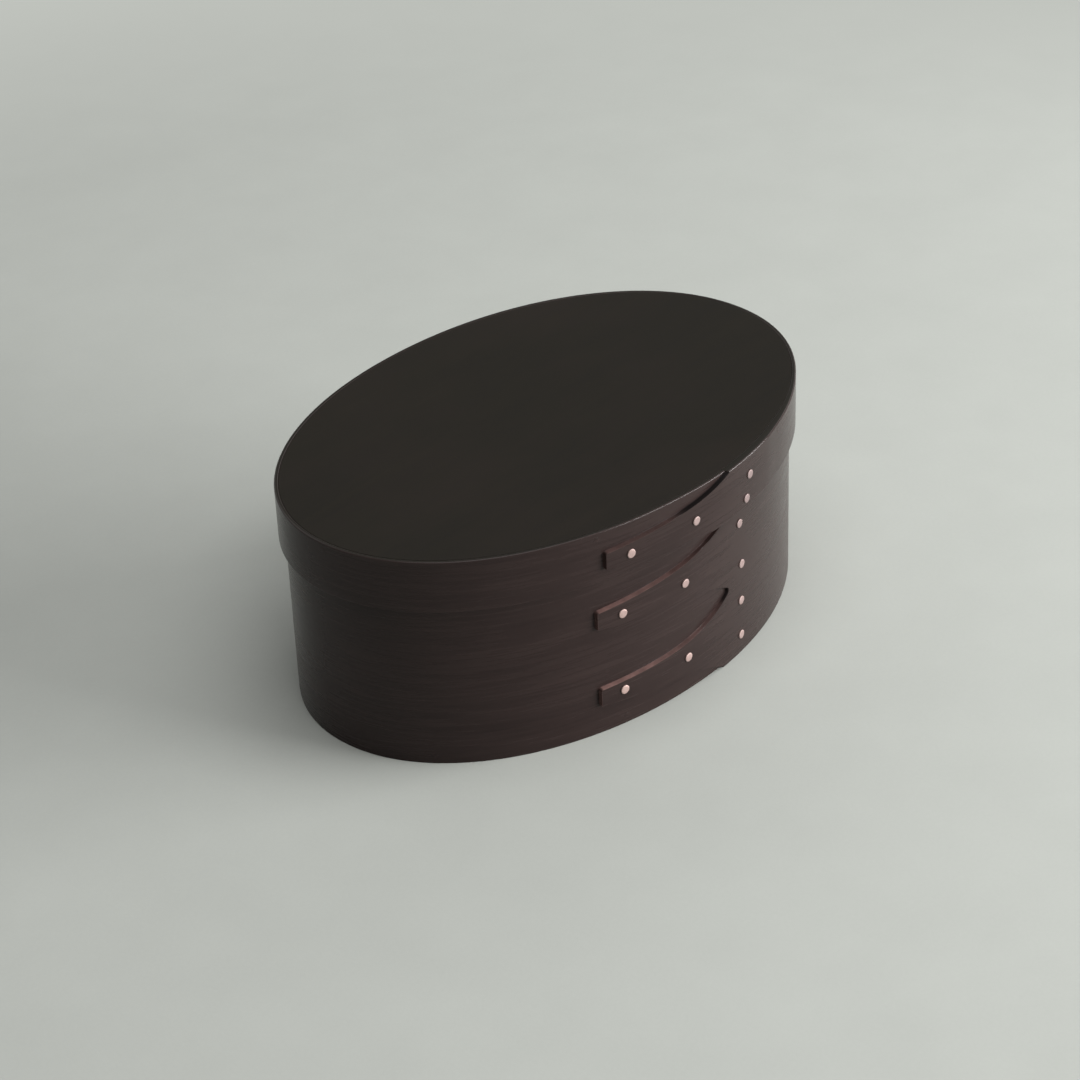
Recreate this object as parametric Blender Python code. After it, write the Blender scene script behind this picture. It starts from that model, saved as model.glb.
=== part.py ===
"""Oval box of bent wood with a lift-off lid.

Two thin strips are bent round one oval. The outer end of each strip is cut into swallowtail fingers, which
lap over the strip's own feathered inner end at the front (-Y) and are held by clinched copper tacks. An
oval board closes each band and is pinned through the band with small wooden pegs. Metres, +Z up, the long
axis of the oval along X, and the origin under the middle of the box.

A place on a band is given by s, the distance along the oval from the middle of the front, positive
towards +X, by z, and by t, the distance outwards from the outer face of the base band's single layer.
"""

import bisect
import math
from collections import namedtuple

import bmesh
import bpy
from mathutils import Matrix, Vector

# Overall sizes
LID_LENGTH = 0.1700
LID_WIDTH = 0.1158
TOTAL_HEIGHT = 0.0644
OVAL_EXPONENT = 2.047

# Bands and boards
BAND_THICKNESS = 0.0012
LID_BAND_WIDTH = 0.0153
BASE_BOARD_THICKNESS = 0.0050
LID_BOARD_THICKNESS = 0.0042

# Clearances
LID_CLEARANCE = 0.0006
LAP_CLEARANCE = 0.0002
LID_SEAT_CLEARANCE = 0.0003
BOARD_CLEARANCE = 0.0003
TACK_CLEARANCE = 0.0003
PEG_CLEARANCE = 0.0003

# Fingers of the base band, from the throat between them to their tips; a rise is that of a finger's middle
# from its tip to its root, and the lower finger's root is wider than half the way to the upper finger
BASE_THROAT_PLACE = 0.0125
BASE_FINGER_TIP_WIDTH = 0.0055
LOWER_FINGER_LENGTH = 0.0489
LOWER_FINGER_HEIGHT = 0.0119
LOWER_FINGER_RISE = -0.0010
LOWER_ROOT_WIDENING = 0.0006
LOWER_TAPER_SHARE = 0.31
UPPER_FINGER_LENGTH = 0.0495
UPPER_FINGER_DROP = 0.0126
UPPER_FINGER_RISE = 0.0003
UPPER_TAPER_SHARE = 0.41
THROAT_WIDTH = 0.0026

# Finger of the lid band, whose edge leaves the band's upper edge at its root
LID_ROOT_PLACE = 0.0098
LID_FINGER_LENGTH = 0.0447
LID_FINGER_TIP_WIDTH = 0.0051
LID_FINGER_DROP = 0.0089
LID_TAPER_SHARE = 0.48

# How sharply a finger's edge sweeps out into the arch at its root
ARCH_POWER = 4.6

# Feathering of the strips' inner ends under the fingers, and the lid band's swell over the lap beneath it
BASE_FEATHER_START = -0.0050
BASE_FEATHER_LENGTH = 0.0610
LID_FEATHER_START = 0.0300
LID_FEATHER_LENGTH = 0.0350
LID_SWELL_LENGTH = 0.0300

# Copper tacks: a low head outside, a shank through both layers and a flattened clinch inside
TACK_HEAD_DIAMETER = 0.0026
TACK_HEAD_THICKNESS = 0.0005
TACK_HEAD_RIM = 0.0003
TACK_HEAD_FLAT = 0.0013
TACK_SHANK_DIAMETER = 0.0010
TACK_CLINCH_DIAMETER = 0.0018
TACK_CLINCH_THICKNESS = 0.0003
TACK_CLINCH_SINK = 0.0001

# Wooden pegs through the bands into the boards' edges
PEG_DIAMETER = 0.0016
PEG_DEPTH_IN_BOARD = 0.0070
PEG_CHAMFER = 0.0002
BASE_PEG_COUNT = 8
LID_PEG_COUNT = 6

# Tacks: share of the finger's length from its tip, and of the room above its middle, or below it where minus
LOWER_TACK_SHARES = {
    "lower_finger_tip_tack": (0.154, 0.016),
    "lower_finger_middle_tack": (0.620, -0.001),
    "lower_finger_root_tack_low": (1.120, -0.495),
    "lower_finger_root_tack_high": (1.119, 0.441),
}
UPPER_TACK_SHARES = {
    "upper_finger_tip_tack": (0.163, -0.004),
    "upper_finger_middle_tack": (0.606, -0.024),
    "upper_finger_root_tack_low": (1.123, -0.599),
    "upper_finger_root_tack_high": (1.099, 0.494),
}
LID_TACK_SHARES = {
    "lid_finger_tip_tack": (0.176, -0.028),
    "lid_finger_middle_tack": (0.676, 0.011),
    "lid_finger_root_tack_low": (1.160, -0.583),
    "lid_finger_root_tack_high": (1.198, 0.337),
}

# Points along a finger's edge, as shares of its length from its tip
FINGER_EDGE_SHARES = (0.14, 0.28, 0.40, 0.50, 0.59, 0.67, 0.74, 0.80, 0.85, 0.90, 0.94, 0.97,
                      1.03, 1.07, 1.11, 1.15, 1.19)

# Fineness of the facets
OVAL_COLUMNS = 96
OVAL_TABLE_STEPS = 4096
TACK_SIDES = 16
PEG_SIDES = 12
BISECTION_STEPS = 40
CROWDING_SHARE = 0.30
MERGE_DISTANCE = 0.000001
CUTTER_OVERRUN = 0.0010
SMOOTH_ANGLE = math.radians(30)

# Sizes that follow
LID_BOTTOM = TOTAL_HEIGHT - LID_BAND_WIDTH
LID_BOARD_BOTTOM = TOTAL_HEIGHT - LID_BOARD_THICKNESS
BASE_TOP = LID_BOARD_BOTTOM - LID_SEAT_CLEARANCE
BASE_HALF_LENGTH = LID_LENGTH / 2 - BAND_THICKNESS - LID_CLEARANCE
BASE_HALF_WIDTH = LID_WIDTH / 2 - BAND_THICKNESS - LID_CLEARANCE
UPPER_FINGER_HEIGHT = LID_BOTTOM - UPPER_FINGER_DROP
FINGER_PITCH = UPPER_FINGER_HEIGHT - LOWER_FINGER_HEIGHT

Finger = namedtuple("Finger", "tip length height rise tip_half root_half taper_share room_below room_above")
Band = namedtuple("Band", "fingers bottom top inner low high feather_end")
Finish = namedtuple("Finish", "name colour roughness metallic")

BAND_WOOD = Finish("stained_band", (0.030, 0.022, 0.020, 1.0), 0.42, 0.0)
BOARD_WOOD = Finish("stained_board", (0.022, 0.020, 0.018, 1.0), 0.50, 0.0)
PEG_WOOD = Finish("stained_peg", (0.026, 0.020, 0.018, 1.0), 0.50, 0.0)
COPPER = Finish("copper", (0.70, 0.42, 0.33, 1.0), 0.35, 1.0)


def clear_objects():
    """Remove the objects of the open file."""
    for item in list(bpy.data.objects):
        bpy.data.objects.remove(item, do_unlink=True)


class Oval:
    """The base band's outer oval, a superellipse, measured along its edge."""

    def __init__(self):
        power = 2 / OVAL_EXPONENT
        self.points = []
        for step in range(OVAL_TABLE_STEPS + 1):
            turn = 2 * math.pi * step / OVAL_TABLE_STEPS
            along, across = math.sin(turn), -math.cos(turn)
            self.points.append(Vector((
                BASE_HALF_LENGTH * math.copysign(abs(along) ** power, along),
                BASE_HALF_WIDTH * math.copysign(abs(across) ** power, across),
                0,
            )))
        self.distances = [0.0]
        for here, there in zip(self.points, self.points[1:]):
            self.distances.append(self.distances[-1] + (there - here).length)
        self.length = self.distances[-1]

    def foot(self, s):
        """Point of the oval at distance s from the middle of the front."""
        s %= self.length
        step = min(bisect.bisect_right(self.distances, s), OVAL_TABLE_STEPS) - 1
        share = (s - self.distances[step]) / (self.distances[step + 1] - self.distances[step])
        return self.points[step].lerp(self.points[step + 1], share)

    def normal(self, s):
        """Outward direction of the oval at distance s."""
        foot = self.foot(s)
        along, across = foot.x / BASE_HALF_LENGTH, foot.y / BASE_HALF_WIDTH
        return Vector((
            math.copysign(abs(along) ** (OVAL_EXPONENT - 1), along) / BASE_HALF_LENGTH,
            math.copysign(abs(across) ** (OVAL_EXPONENT - 1), across) / BASE_HALF_WIDTH,
            0,
        )).normalized()

    def place(self, s, z, t):
        """Point at s along the oval, height z and t outwards."""
        point = self.foot(s) + self.normal(s) * t
        point.z = z
        return point

    def nearest_way(self, s):
        """Distance s taken the shorter way round from the middle of the front."""
        return (s + self.length / 2) % self.length - self.length / 2


OVAL = Oval()


def smooth_step(share):
    """Rise from 0 to 1 with level ends."""
    share = min(max(share, 0.0), 1.0)
    return share * share * (3 - 2 * share)


def share_of_length(finger, s):
    """Share of a finger's length from its tip to s."""
    return max((s - finger.tip) / finger.length, 0.0)


def half_width(finger, s):
    """Half width of a finger at s: a slow taper at its tip that sweeps out into the arch at its root."""
    share = share_of_length(finger, s)
    swell = finger.taper_share * share + (1 - finger.taper_share) * share ** ARCH_POWER
    return finger.tip_half + (finger.root_half - finger.tip_half) * swell


def upper_edge(finger, s):
    """Height of a finger's upper edge at s."""
    return finger.height + finger.rise * share_of_length(finger, s) + half_width(finger, s)


def lower_edge(finger, s):
    """Height of a finger's lower edge at s."""
    return finger.height + finger.rise * share_of_length(finger, s) - half_width(finger, s)


def place_of_no_room(finger, room):
    """Place where the room beside a finger, which shrinks from its tip on, is used up, found by halving."""
    near, far = finger.tip, finger.tip + 2 * finger.length
    for _ in range(BISECTION_STEPS):
        middle = (near + far) / 2
        if room(middle) > 0:
            near = middle
        else:
            far = middle
    return (near + far) / 2


LOWER_FINGER = Finger(BASE_THROAT_PLACE - LOWER_FINGER_LENGTH, LOWER_FINGER_LENGTH,
                      LOWER_FINGER_HEIGHT, LOWER_FINGER_RISE, BASE_FINGER_TIP_WIDTH / 2,
                      FINGER_PITCH / 2 + LOWER_ROOT_WIDENING, LOWER_TAPER_SHARE,
                      LOWER_FINGER_HEIGHT, FINGER_PITCH / 2)
UPPER_FINGER = Finger(BASE_THROAT_PLACE - UPPER_FINGER_LENGTH, UPPER_FINGER_LENGTH,
                      UPPER_FINGER_HEIGHT, UPPER_FINGER_RISE, BASE_FINGER_TIP_WIDTH / 2,
                      FINGER_PITCH / 2, UPPER_TAPER_SHARE, FINGER_PITCH / 2, UPPER_FINGER_DROP)
LID_FINGER = Finger(LID_ROOT_PLACE - LID_FINGER_LENGTH, LID_FINGER_LENGTH,
                    TOTAL_HEIGHT - LID_FINGER_DROP, 0.0, LID_FINGER_TIP_WIDTH / 2,
                    LID_FINGER_DROP, LID_TAPER_SHARE, LID_BAND_WIDTH - LID_FINGER_DROP, LID_FINGER_DROP)
# Where the upper finger's edge passes under the lid band's lower edge
LAP_UNDER_LID_PLACE = place_of_no_room(UPPER_FINGER, lambda s: LID_BOTTOM - upper_edge(UPPER_FINGER, s))


def feather(s, start, length):
    """Thickness of a strip's inner end under the fingers: full before start, nothing after length."""
    return BAND_THICKNESS * min(max((start + length - s) / length, 0.0), 1.0)


def base_inner(s):
    """Inner face of the base band."""
    return -BAND_THICKNESS


def base_low(s):
    """Outer face of the base band where it is one layer."""
    return 0.0


def base_high(s):
    """Outer face of the base band's fingers."""
    return feather(s, BASE_FEATHER_START, BASE_FEATHER_LENGTH)


def lid_inner(s):
    """Inner face of the lid band, bent out over the lap beneath it."""
    risen = smooth_step((s - LAP_UNDER_LID_PLACE + LID_SWELL_LENGTH) / LID_SWELL_LENGTH)
    return LID_CLEARANCE + max(base_high(s) + LAP_CLEARANCE - LID_CLEARANCE, 0.0) * risen


def lid_low(s):
    """Outer face of the lid band where it is one layer."""
    return lid_inner(s) + BAND_THICKNESS


def lid_high(s):
    """Outer face of the lid band's finger."""
    return lid_low(s) + feather(s, LID_FEATHER_START, LID_FEATHER_LENGTH)


BASE_BAND = Band((LOWER_FINGER, UPPER_FINGER), 0.0, BASE_TOP, base_inner, base_low, base_high,
                 BASE_FEATHER_START + BASE_FEATHER_LENGTH)
LID_BAND = Band((LID_FINGER,), LID_BOTTOM, TOTAL_HEIGHT, lid_inner, lid_low, lid_high,
                LID_FEATHER_START + LID_FEATHER_LENGTH)


def base_board_edge(s):
    """Edge of the base board, inside the base band."""
    return base_inner(s) - BOARD_CLEARANCE


def lid_board_edge(s):
    """Edge of the lid board, inside the lid band."""
    return lid_inner(s) - BOARD_CLEARANCE


def throat_place(below, above):
    """Place where the gap between two neighbouring fingers has narrowed to the throat."""
    return place_of_no_room(below, lambda s: lower_edge(above, s) - upper_edge(below, s) - THROAT_WIDTH)


def throat_places(band):
    """Places of the throats between a band's fingers."""
    return [throat_place(below, above) for below, above in zip(band.fingers, band.fingers[1:])]


def rim_places(band):
    """Places where the outermost fingers' edges meet the band's lower and upper edges."""
    lowest, highest = band.fingers[0], band.fingers[-1]
    return [place_of_no_room(lowest, lambda s: lower_edge(lowest, s) - band.bottom),
            place_of_no_room(highest, lambda s: band.top - upper_edge(highest, s))]


def strip_edges(band, throats, s):
    """Heights that part a band's outer face at s: its rims and the edges of its fingers."""
    tip = min(finger.tip for finger in band.fingers)
    s = s if tip <= s <= band.feather_end else tip
    heights = [band.bottom]
    for finger in band.fingers:
        heights += [lower_edge(finger, s), upper_edge(finger, s)]
    heights.append(band.top)
    for gap, throat in enumerate(throats):
        lower = 2 * gap + 2
        if s > throat:
            heights[lower] = heights[lower + 1] = (heights[lower] + heights[lower + 1]) / 2
    return [min(max(height, band.bottom), band.top) for height in heights]


def band_columns(band, throats):
    """Places of a band's columns: those that its outline needs, and regular ones between them."""
    ends = [finger.tip for finger in band.fingers] + throats + rim_places(band)
    finger = band.fingers[0]
    needed = [finger.tip + share * finger.length for share in FINGER_EDGE_SHARES]
    needed = [s for s in needed if s < max(ends)]
    spacing = OVAL.length / OVAL_COLUMNS
    crowding = spacing * CROWDING_SHARE
    needed = [s for s in needed if all(abs(s - end) > crowding / 2 for end in ends)]
    needed += ends + [band.feather_end]
    regular = [OVAL.nearest_way(spacing * column) for column in range(OVAL_COLUMNS)]
    regular = [s for s in regular if all(abs(s - other) > crowding for other in needed)]
    return sorted(set(needed + regular))


class Shell:
    """A mesh whose faces are given by the places of their corners, each place being one vertex."""

    def __init__(self):
        self.mesh = bmesh.new()
        self.vertices = {}

    @staticmethod
    def key(s, z, t):
        """Whole number of merge distances for each coordinate, the same for coincident places."""
        return tuple(round(value / MERGE_DISTANCE) for value in (s, z, t))

    def holds(self, place):
        """Whether a place has a vertex already."""
        return self.key(*place) in self.vertices

    def add_face(self, places):
        """A face through the places, without those that coincide."""
        corners = []
        for place in places:
            key = self.key(*place)
            if key not in self.vertices:
                self.vertices[key] = self.mesh.verts.new(OVAL.place(*place))
            if self.vertices[key] not in corners:
                corners.append(self.vertices[key])
        if len(corners) > 2:
            self.mesh.faces.new(corners)


def band_mesh(band):
    """The bent band as one closed mesh of columns, its fingers standing out by a step."""
    shell = Shell()
    throats = throat_places(band)
    columns = band_columns(band, throats)
    strips = range(2 * len(band.fingers) + 1)

    def raised(s, strip):
        """Whether a strip of the outer face just after column s lies on the outer layer."""
        if s >= band.feather_end:
            return False
        if strip % 2 == 1:
            return s >= band.fingers[strip // 2].tip
        return 0 < strip < strips[-1] and s >= throats[strip // 2 - 1]

    def outer(s, strip_is_raised):
        return band.high(s) if strip_is_raised else band.low(s)

    def rim_chain(s, z, strip_is_raised):
        """Places across the rim at a column, from the inner face out."""
        chain = [(s, z, band.inner(s))]
        step = (s, z, band.low(s))
        if strip_is_raised and shell.holds(step):
            chain.append(step)
        return chain + [(s, z, outer(s, strip_is_raised))]

    def open_strips(here, there):
        """Strips that have some height between two columns, lowest first."""
        return [strip for strip in strips
                if max(edges[s][strip + 1] - edges[s][strip] for s in (here, there)) > MERGE_DISTANCE]

    edges = {s: strip_edges(band, throats, s) for s in columns}
    neighbours = list(zip(columns, columns[1:] + columns[:1]))
    before = dict(zip(columns[1:] + columns[:1], columns))
    for here, there in neighbours:
        left, right = edges[here], edges[there]
        for strip in open_strips(here, there):
            up = raised(here, strip)
            shell.add_face([
                (here, left[strip], outer(here, up)), (there, right[strip], outer(there, up)),
                (there, right[strip + 1], outer(there, up)), (here, left[strip + 1], outer(here, up)),
            ])
            if up != raised(before[here], strip):
                shell.add_face([
                    (here, left[strip], band.low(here)), (here, left[strip + 1], band.low(here)),
                    (here, left[strip + 1], band.high(here)), (here, left[strip], band.high(here)),
                ])
        for below, strip in zip(open_strips(here, there), open_strips(here, there)[1:]):
            if raised(here, below) != raised(here, strip):
                shell.add_face([
                    (here, left[strip], band.low(here)), (there, right[strip], band.low(there)),
                    (there, right[strip], band.high(there)), (here, left[strip], band.high(here)),
                ])
    for here, there in neighbours:
        shell.add_face([
            (here, band.bottom, band.inner(here)), (there, band.bottom, band.inner(there)),
            (there, band.top, band.inner(there)), (here, band.top, band.inner(here)),
        ])
        shown = open_strips(here, there)
        for z, strip in ((band.bottom, shown[0]), (band.top, shown[-1])):
            up = raised(here, strip)
            shell.add_face(rim_chain(here, z, up) + rim_chain(there, z, up)[::-1])
    return shell.mesh


def board_mesh(edge, bottom, top):
    """An oval board: the loop of its edge, filled and extruded up."""
    mesh = bmesh.new()
    spacing = OVAL.length / OVAL_COLUMNS
    loop = [mesh.verts.new(OVAL.place(spacing * column, bottom, edge(OVAL.nearest_way(spacing * column))))
            for column in range(OVAL_COLUMNS)]
    face = mesh.faces.new(loop)
    grown = bmesh.ops.extrude_face_region(mesh, geom=[face])
    raised = [item for item in grown["geom"] if isinstance(item, bmesh.types.BMVert)]
    bmesh.ops.translate(mesh, verts=raised, vec=Vector((0, 0, top - bottom)))
    return mesh


def turned_mesh(profile, sides):
    """A solid turned about its own Z axis from (radius, height) points that start and end on the axis."""
    mesh = bmesh.new()
    points = [mesh.verts.new((radius, 0, height)) for radius, height in profile]
    lines = [mesh.edges.new(pair) for pair in zip(points, points[1:])]
    bmesh.ops.spin(mesh, geom=points + lines, cent=(0, 0, 0), axis=(0, 0, 1), dvec=(0, 0, 0),
                   angle=2 * math.pi, steps=sides, use_merge=True)
    bmesh.ops.remove_doubles(mesh, verts=mesh.verts, dist=MERGE_DISTANCE)
    return mesh


def make_object(name, mesh, finish, parent=None):
    """A named object from a bmesh, with its faces turned outwards and its finish."""
    bmesh.ops.recalc_face_normals(mesh, faces=mesh.faces)
    data = bpy.data.meshes.new(name)
    mesh.to_mesh(data)
    mesh.free()
    data.shade_smooth()
    data.set_sharp_from_angle(angle=SMOOTH_ANGLE)
    item = bpy.data.objects.new(name, data)
    bpy.context.collection.objects.link(item)
    if finish:
        item.data.materials.append(make_material(finish))
    if parent:
        item.parent = parent
        item.matrix_parent_inverse = parent.matrix_world.inverted()
    return item


def make_material(finish):
    """A Principled BSDF material, made once for each finish."""
    material = bpy.data.materials.get(finish.name)
    if material is None:
        material = bpy.data.materials.new(finish.name)
        material.use_nodes = True
        shader = material.node_tree.nodes["Principled BSDF"]
        shader.inputs["Base Color"].default_value = finish.colour
        shader.inputs["Roughness"].default_value = finish.roughness
        shader.inputs["Metallic"].default_value = finish.metallic
    return material


def outward_frame(s, z, t):
    """World matrix at a place whose Z axis points straight out of the band."""
    outwards = OVAL.normal(s)
    return Matrix.Translation(OVAL.place(s, z, t)) @ outwards.to_track_quat("Z", "Y").to_matrix().to_4x4()


def outer_face(band, s, z):
    """Outer face of a band at a place: on its outer layer or beside it."""
    past_root = s > max(rim_places(band) + throat_places(band))
    on_finger = any(s > finger.tip and lower_edge(finger, s) < z < upper_edge(finger, s)
                    for finger in band.fingers)
    return band.high(s) if past_root or on_finger else band.low(s)


def tack_place(finger, along_share, up_share):
    """Place of a tack on or behind its finger, within the room above or below the finger's middle."""
    room = finger.room_above if up_share > 0 else finger.room_below
    return (finger.tip + along_share * finger.length, finger.height + up_share * room)


def tack_heights(band, s, z):
    """Heights along a tack's axis, from under its head: the clinch's two ends."""
    under_head = outer_face(band, s, z) + TACK_CLEARANCE
    clinch_end = band.inner(s) + TACK_CLINCH_SINK - under_head
    return clinch_end + TACK_CLINCH_THICKNESS, clinch_end


def tack_mesh(clinch_start, clinch_end):
    """A tack turned about its shank, with the underside of its head at height 0."""
    return turned_mesh([
        (0, TACK_HEAD_THICKNESS), (TACK_HEAD_FLAT / 2, TACK_HEAD_THICKNESS),
        (TACK_HEAD_DIAMETER / 2, TACK_HEAD_RIM), (TACK_HEAD_DIAMETER / 2, 0),
        (TACK_SHANK_DIAMETER / 2, 0), (TACK_SHANK_DIAMETER / 2, clinch_start),
        (TACK_CLINCH_DIAMETER / 2, clinch_start), (TACK_CLINCH_DIAMETER / 2, clinch_end),
        (0, clinch_end),
    ], TACK_SIDES)


def tack_hole_mesh(clinch_start, clinch_end):
    """The hole for a tack: clear of its shank, with a recess inside for its clinch."""
    shank = TACK_SHANK_DIAMETER / 2 + TACK_CLEARANCE
    clinch = TACK_CLINCH_DIAMETER / 2 + TACK_CLEARANCE
    return turned_mesh([
        (0, CUTTER_OVERRUN), (shank, CUTTER_OVERRUN), (shank, clinch_start + TACK_CLEARANCE),
        (clinch, clinch_start + TACK_CLEARANCE), (clinch, clinch_end - CUTTER_OVERRUN),
        (0, clinch_end - CUTTER_OVERRUN),
    ], TACK_SIDES)


def peg_mesh(length):
    """A wooden peg whose outer end is at height 0, chamfered at its inner end."""
    radius = PEG_DIAMETER / 2
    return turned_mesh([(0, 0), (radius, 0), (radius, PEG_CHAMFER - length),
                        (radius - PEG_CHAMFER, -length), (0, -length)], PEG_SIDES)


def peg_hole_mesh(length):
    """The hole for a peg, through the band and into the board's edge."""
    radius = PEG_DIAMETER / 2 + PEG_CLEARANCE
    return turned_mesh([(0, CUTTER_OVERRUN), (radius, CUTTER_OVERRUN), (radius, -length - PEG_CLEARANCE),
                        (0, -length - PEG_CLEARANCE)], PEG_SIDES)


def cut_holes(item, name, frames_and_meshes):
    """Cut holes, given by their frames and meshes, out of an object with one Boolean."""
    holes = bmesh.new()
    for frame, mesh in frames_and_meshes:
        bmesh.ops.recalc_face_normals(mesh, faces=mesh.faces)
        mesh.transform(frame)
        moved = {vertex: holes.verts.new(vertex.co) for vertex in mesh.verts}
        for face in mesh.faces:
            holes.faces.new([moved[vertex] for vertex in face.verts])
        mesh.free()
    cutter = make_object(name, holes, None)
    cutter.hide_render = True
    cutter.display_type = "WIRE"
    cut = item.modifiers.new("holes", "BOOLEAN")
    cut.operation = "DIFFERENCE"
    cut.object = cutter


def add_tacks(band, finger, shares, parent, holes):
    """Tacks of one finger, each in its own object, and their holes."""
    for name, (along_share, up_share) in shares.items():
        s, z = tack_place(finger, along_share, up_share)
        heights = tack_heights(band, s, z)
        frame = outward_frame(s, z, outer_face(band, s, z) + TACK_CLEARANCE)
        tack = make_object(name, tack_mesh(*heights), COPPER, parent)
        tack.matrix_world = frame
        holes.append((frame, tack_hole_mesh(*heights)))


def add_pegs(band, edge, z, count, name, parent, holes):
    """Pegs spaced evenly round a board's edge, each in its own object, and their holes."""
    for number in range(1, count + 1):
        s = OVAL.nearest_way(OVAL.length * (2 * number - 1) / (2 * count))
        outside = outer_face(band, s, z)
        length = outside - edge(s) + PEG_DEPTH_IN_BOARD
        frame = outward_frame(s, z, outside)
        peg = make_object(f"{name}_{number}", peg_mesh(length), PEG_WOOD, parent)
        peg.matrix_world = frame
        holes.append((frame, length))


def make_base():
    """The base: its band, board, tacks and pegs."""
    tack_holes, peg_holes = [], []
    band = make_object("base_band", band_mesh(BASE_BAND), BAND_WOOD)
    board = make_object("base_board", board_mesh(base_board_edge, 0.0, BASE_BOARD_THICKNESS), BOARD_WOOD)
    add_tacks(BASE_BAND, LOWER_FINGER, LOWER_TACK_SHARES, None, tack_holes)
    add_tacks(BASE_BAND, UPPER_FINGER, UPPER_TACK_SHARES, None, tack_holes)
    add_pegs(BASE_BAND, base_board_edge, BASE_BOARD_THICKNESS / 2, BASE_PEG_COUNT, "base_peg", None,
             peg_holes)
    cut_holes(band, "base_band_holes", tack_holes + [(frame, peg_hole_mesh(length))
                                                     for frame, length in peg_holes])
    cut_holes(board, "base_board_holes", [(frame, peg_hole_mesh(length)) for frame, length in peg_holes])


def make_lid():
    """The lid: its band, board, tacks and pegs, on an empty on the axis along which it lifts."""
    lift = bpy.data.objects.new("lid_lift_axis", None)
    bpy.context.collection.objects.link(lift)
    lift.location = (0, 0, LID_BOTTOM)
    bpy.context.view_layer.update()
    tack_holes, peg_holes = [], []
    band = make_object("lid_band", band_mesh(LID_BAND), BAND_WOOD, lift)
    board = make_object("lid_board", board_mesh(lid_board_edge, LID_BOARD_BOTTOM, TOTAL_HEIGHT), BOARD_WOOD,
                        lift)
    add_tacks(LID_BAND, LID_FINGER, LID_TACK_SHARES, lift, tack_holes)
    add_pegs(LID_BAND, lid_board_edge, TOTAL_HEIGHT - LID_BOARD_THICKNESS / 2, LID_PEG_COUNT, "lid_peg",
             lift, peg_holes)
    cut_holes(band, "lid_band_holes", tack_holes + [(frame, peg_hole_mesh(length))
                                                    for frame, length in peg_holes])
    cut_holes(board, "lid_board_holes", [(frame, peg_hole_mesh(length)) for frame, length in peg_holes])


clear_objects()
make_base()
make_lid()
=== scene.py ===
"""Oval box of bent wood, stained very dark, with swallowtail finger laps held by copper tacks.

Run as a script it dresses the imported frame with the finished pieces, the stage, the lights and the
camera. The same file is laid out as an add-on: its panel in the 3D view's sidebar holds the sizes and
colours that a user would change, and one button for each group of pieces.

Places on the box are given by s, the distance along the base band's outer oval from the middle of the
front, positive to the right, by the height z, and by t, the distance outwards from that oval.
"""
import math
from collections import namedtuple

import bpy
import numpy as np
from bpy.props import FloatProperty, FloatVectorProperty, PointerProperty
from mathutils import Matrix, Vector


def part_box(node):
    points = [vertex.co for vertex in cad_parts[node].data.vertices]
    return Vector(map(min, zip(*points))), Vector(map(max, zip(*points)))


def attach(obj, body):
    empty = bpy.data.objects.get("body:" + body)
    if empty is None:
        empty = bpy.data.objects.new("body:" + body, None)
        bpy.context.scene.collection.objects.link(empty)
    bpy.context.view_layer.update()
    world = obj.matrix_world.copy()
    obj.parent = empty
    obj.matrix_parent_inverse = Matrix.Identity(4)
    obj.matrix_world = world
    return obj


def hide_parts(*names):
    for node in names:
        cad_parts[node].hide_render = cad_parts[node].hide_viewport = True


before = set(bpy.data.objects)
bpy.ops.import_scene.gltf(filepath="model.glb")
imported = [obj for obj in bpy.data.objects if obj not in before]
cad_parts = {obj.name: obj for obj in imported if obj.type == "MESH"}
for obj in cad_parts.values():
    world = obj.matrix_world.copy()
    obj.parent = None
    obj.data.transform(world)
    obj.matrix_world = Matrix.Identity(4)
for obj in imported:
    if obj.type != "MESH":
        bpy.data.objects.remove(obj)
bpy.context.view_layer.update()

bl_info = {
    "name": "Oval Bentwood Box",
    "version": (1, 0, 0),
    "blender": (4, 5, 0),
    "location": "3D View > Sidebar > Oval Box",
    "description": "Builds a dark stained oval box of bent wood with swallowtail fingers and copper tacks",
    "category": "Add Mesh",
}

MM = 0.001

# Shape of the oval and thickness of the strip, with the gaps between lid and base
OVAL_EXPONENT = 2.047
BAND_THICKNESS = 1.2 * MM
LID_CLEARANCE = 0.6 * MM
LAP_CLEARANCE = 0.2 * MM
SURFACE_RELIEF = 0.02 * MM
BOARD_ARRIS = 0.12 * MM

# Fingers: places, lengths and widths along the lap
BASE_THROAT_PLACE = 12.5 * MM
BASE_FINGER_TIP_WIDTH = 5.5 * MM
LOWER_FINGER_LENGTH = 48.9 * MM
LOWER_FINGER_HEIGHT = 11.9 * MM
LOWER_FINGER_RISE = -1.0 * MM
LOWER_ROOT_WIDENING = 0.6 * MM
LOWER_TAPER_SHARE = 0.31
UPPER_FINGER_LENGTH = 49.5 * MM
UPPER_FINGER_DROP = 12.6 * MM
UPPER_FINGER_RISE = 0.3 * MM
UPPER_TAPER_SHARE = 0.41
LID_ROOT_PLACE = 9.8 * MM
LID_FINGER_LENGTH = 44.7 * MM
LID_FINGER_TIP_WIDTH = 5.1 * MM
LID_FINGER_DROP = 8.9 * MM
LID_TAPER_SHARE = 0.48
ARCH_POWER = 4.6

# How much the fingers' upper edges are rubbed: shares of their length from the tip, and the wear there
LOWER_RUB = ((0.00, 0.35, 0.39, 0.52, 0.60, 0.90), (0.65, 0.65, 0.48, 0.42, 0.35, 0.35))
UPPER_RUB = ((0.00, 0.23, 0.35, 0.52, 0.64, 0.80, 0.88), (0.70, 0.60, 0.45, 0.33, 0.20, 0.20, 0.35))
# On the lid finger the rubbed colour near the tip also stands in for a glint: partly wear, partly painted
# highlight
LID_RUB_AND_GLINT = ((0.05, 0.20, 0.45, 0.55), (0.20, 0.12, 0.12, 0.00))
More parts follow.
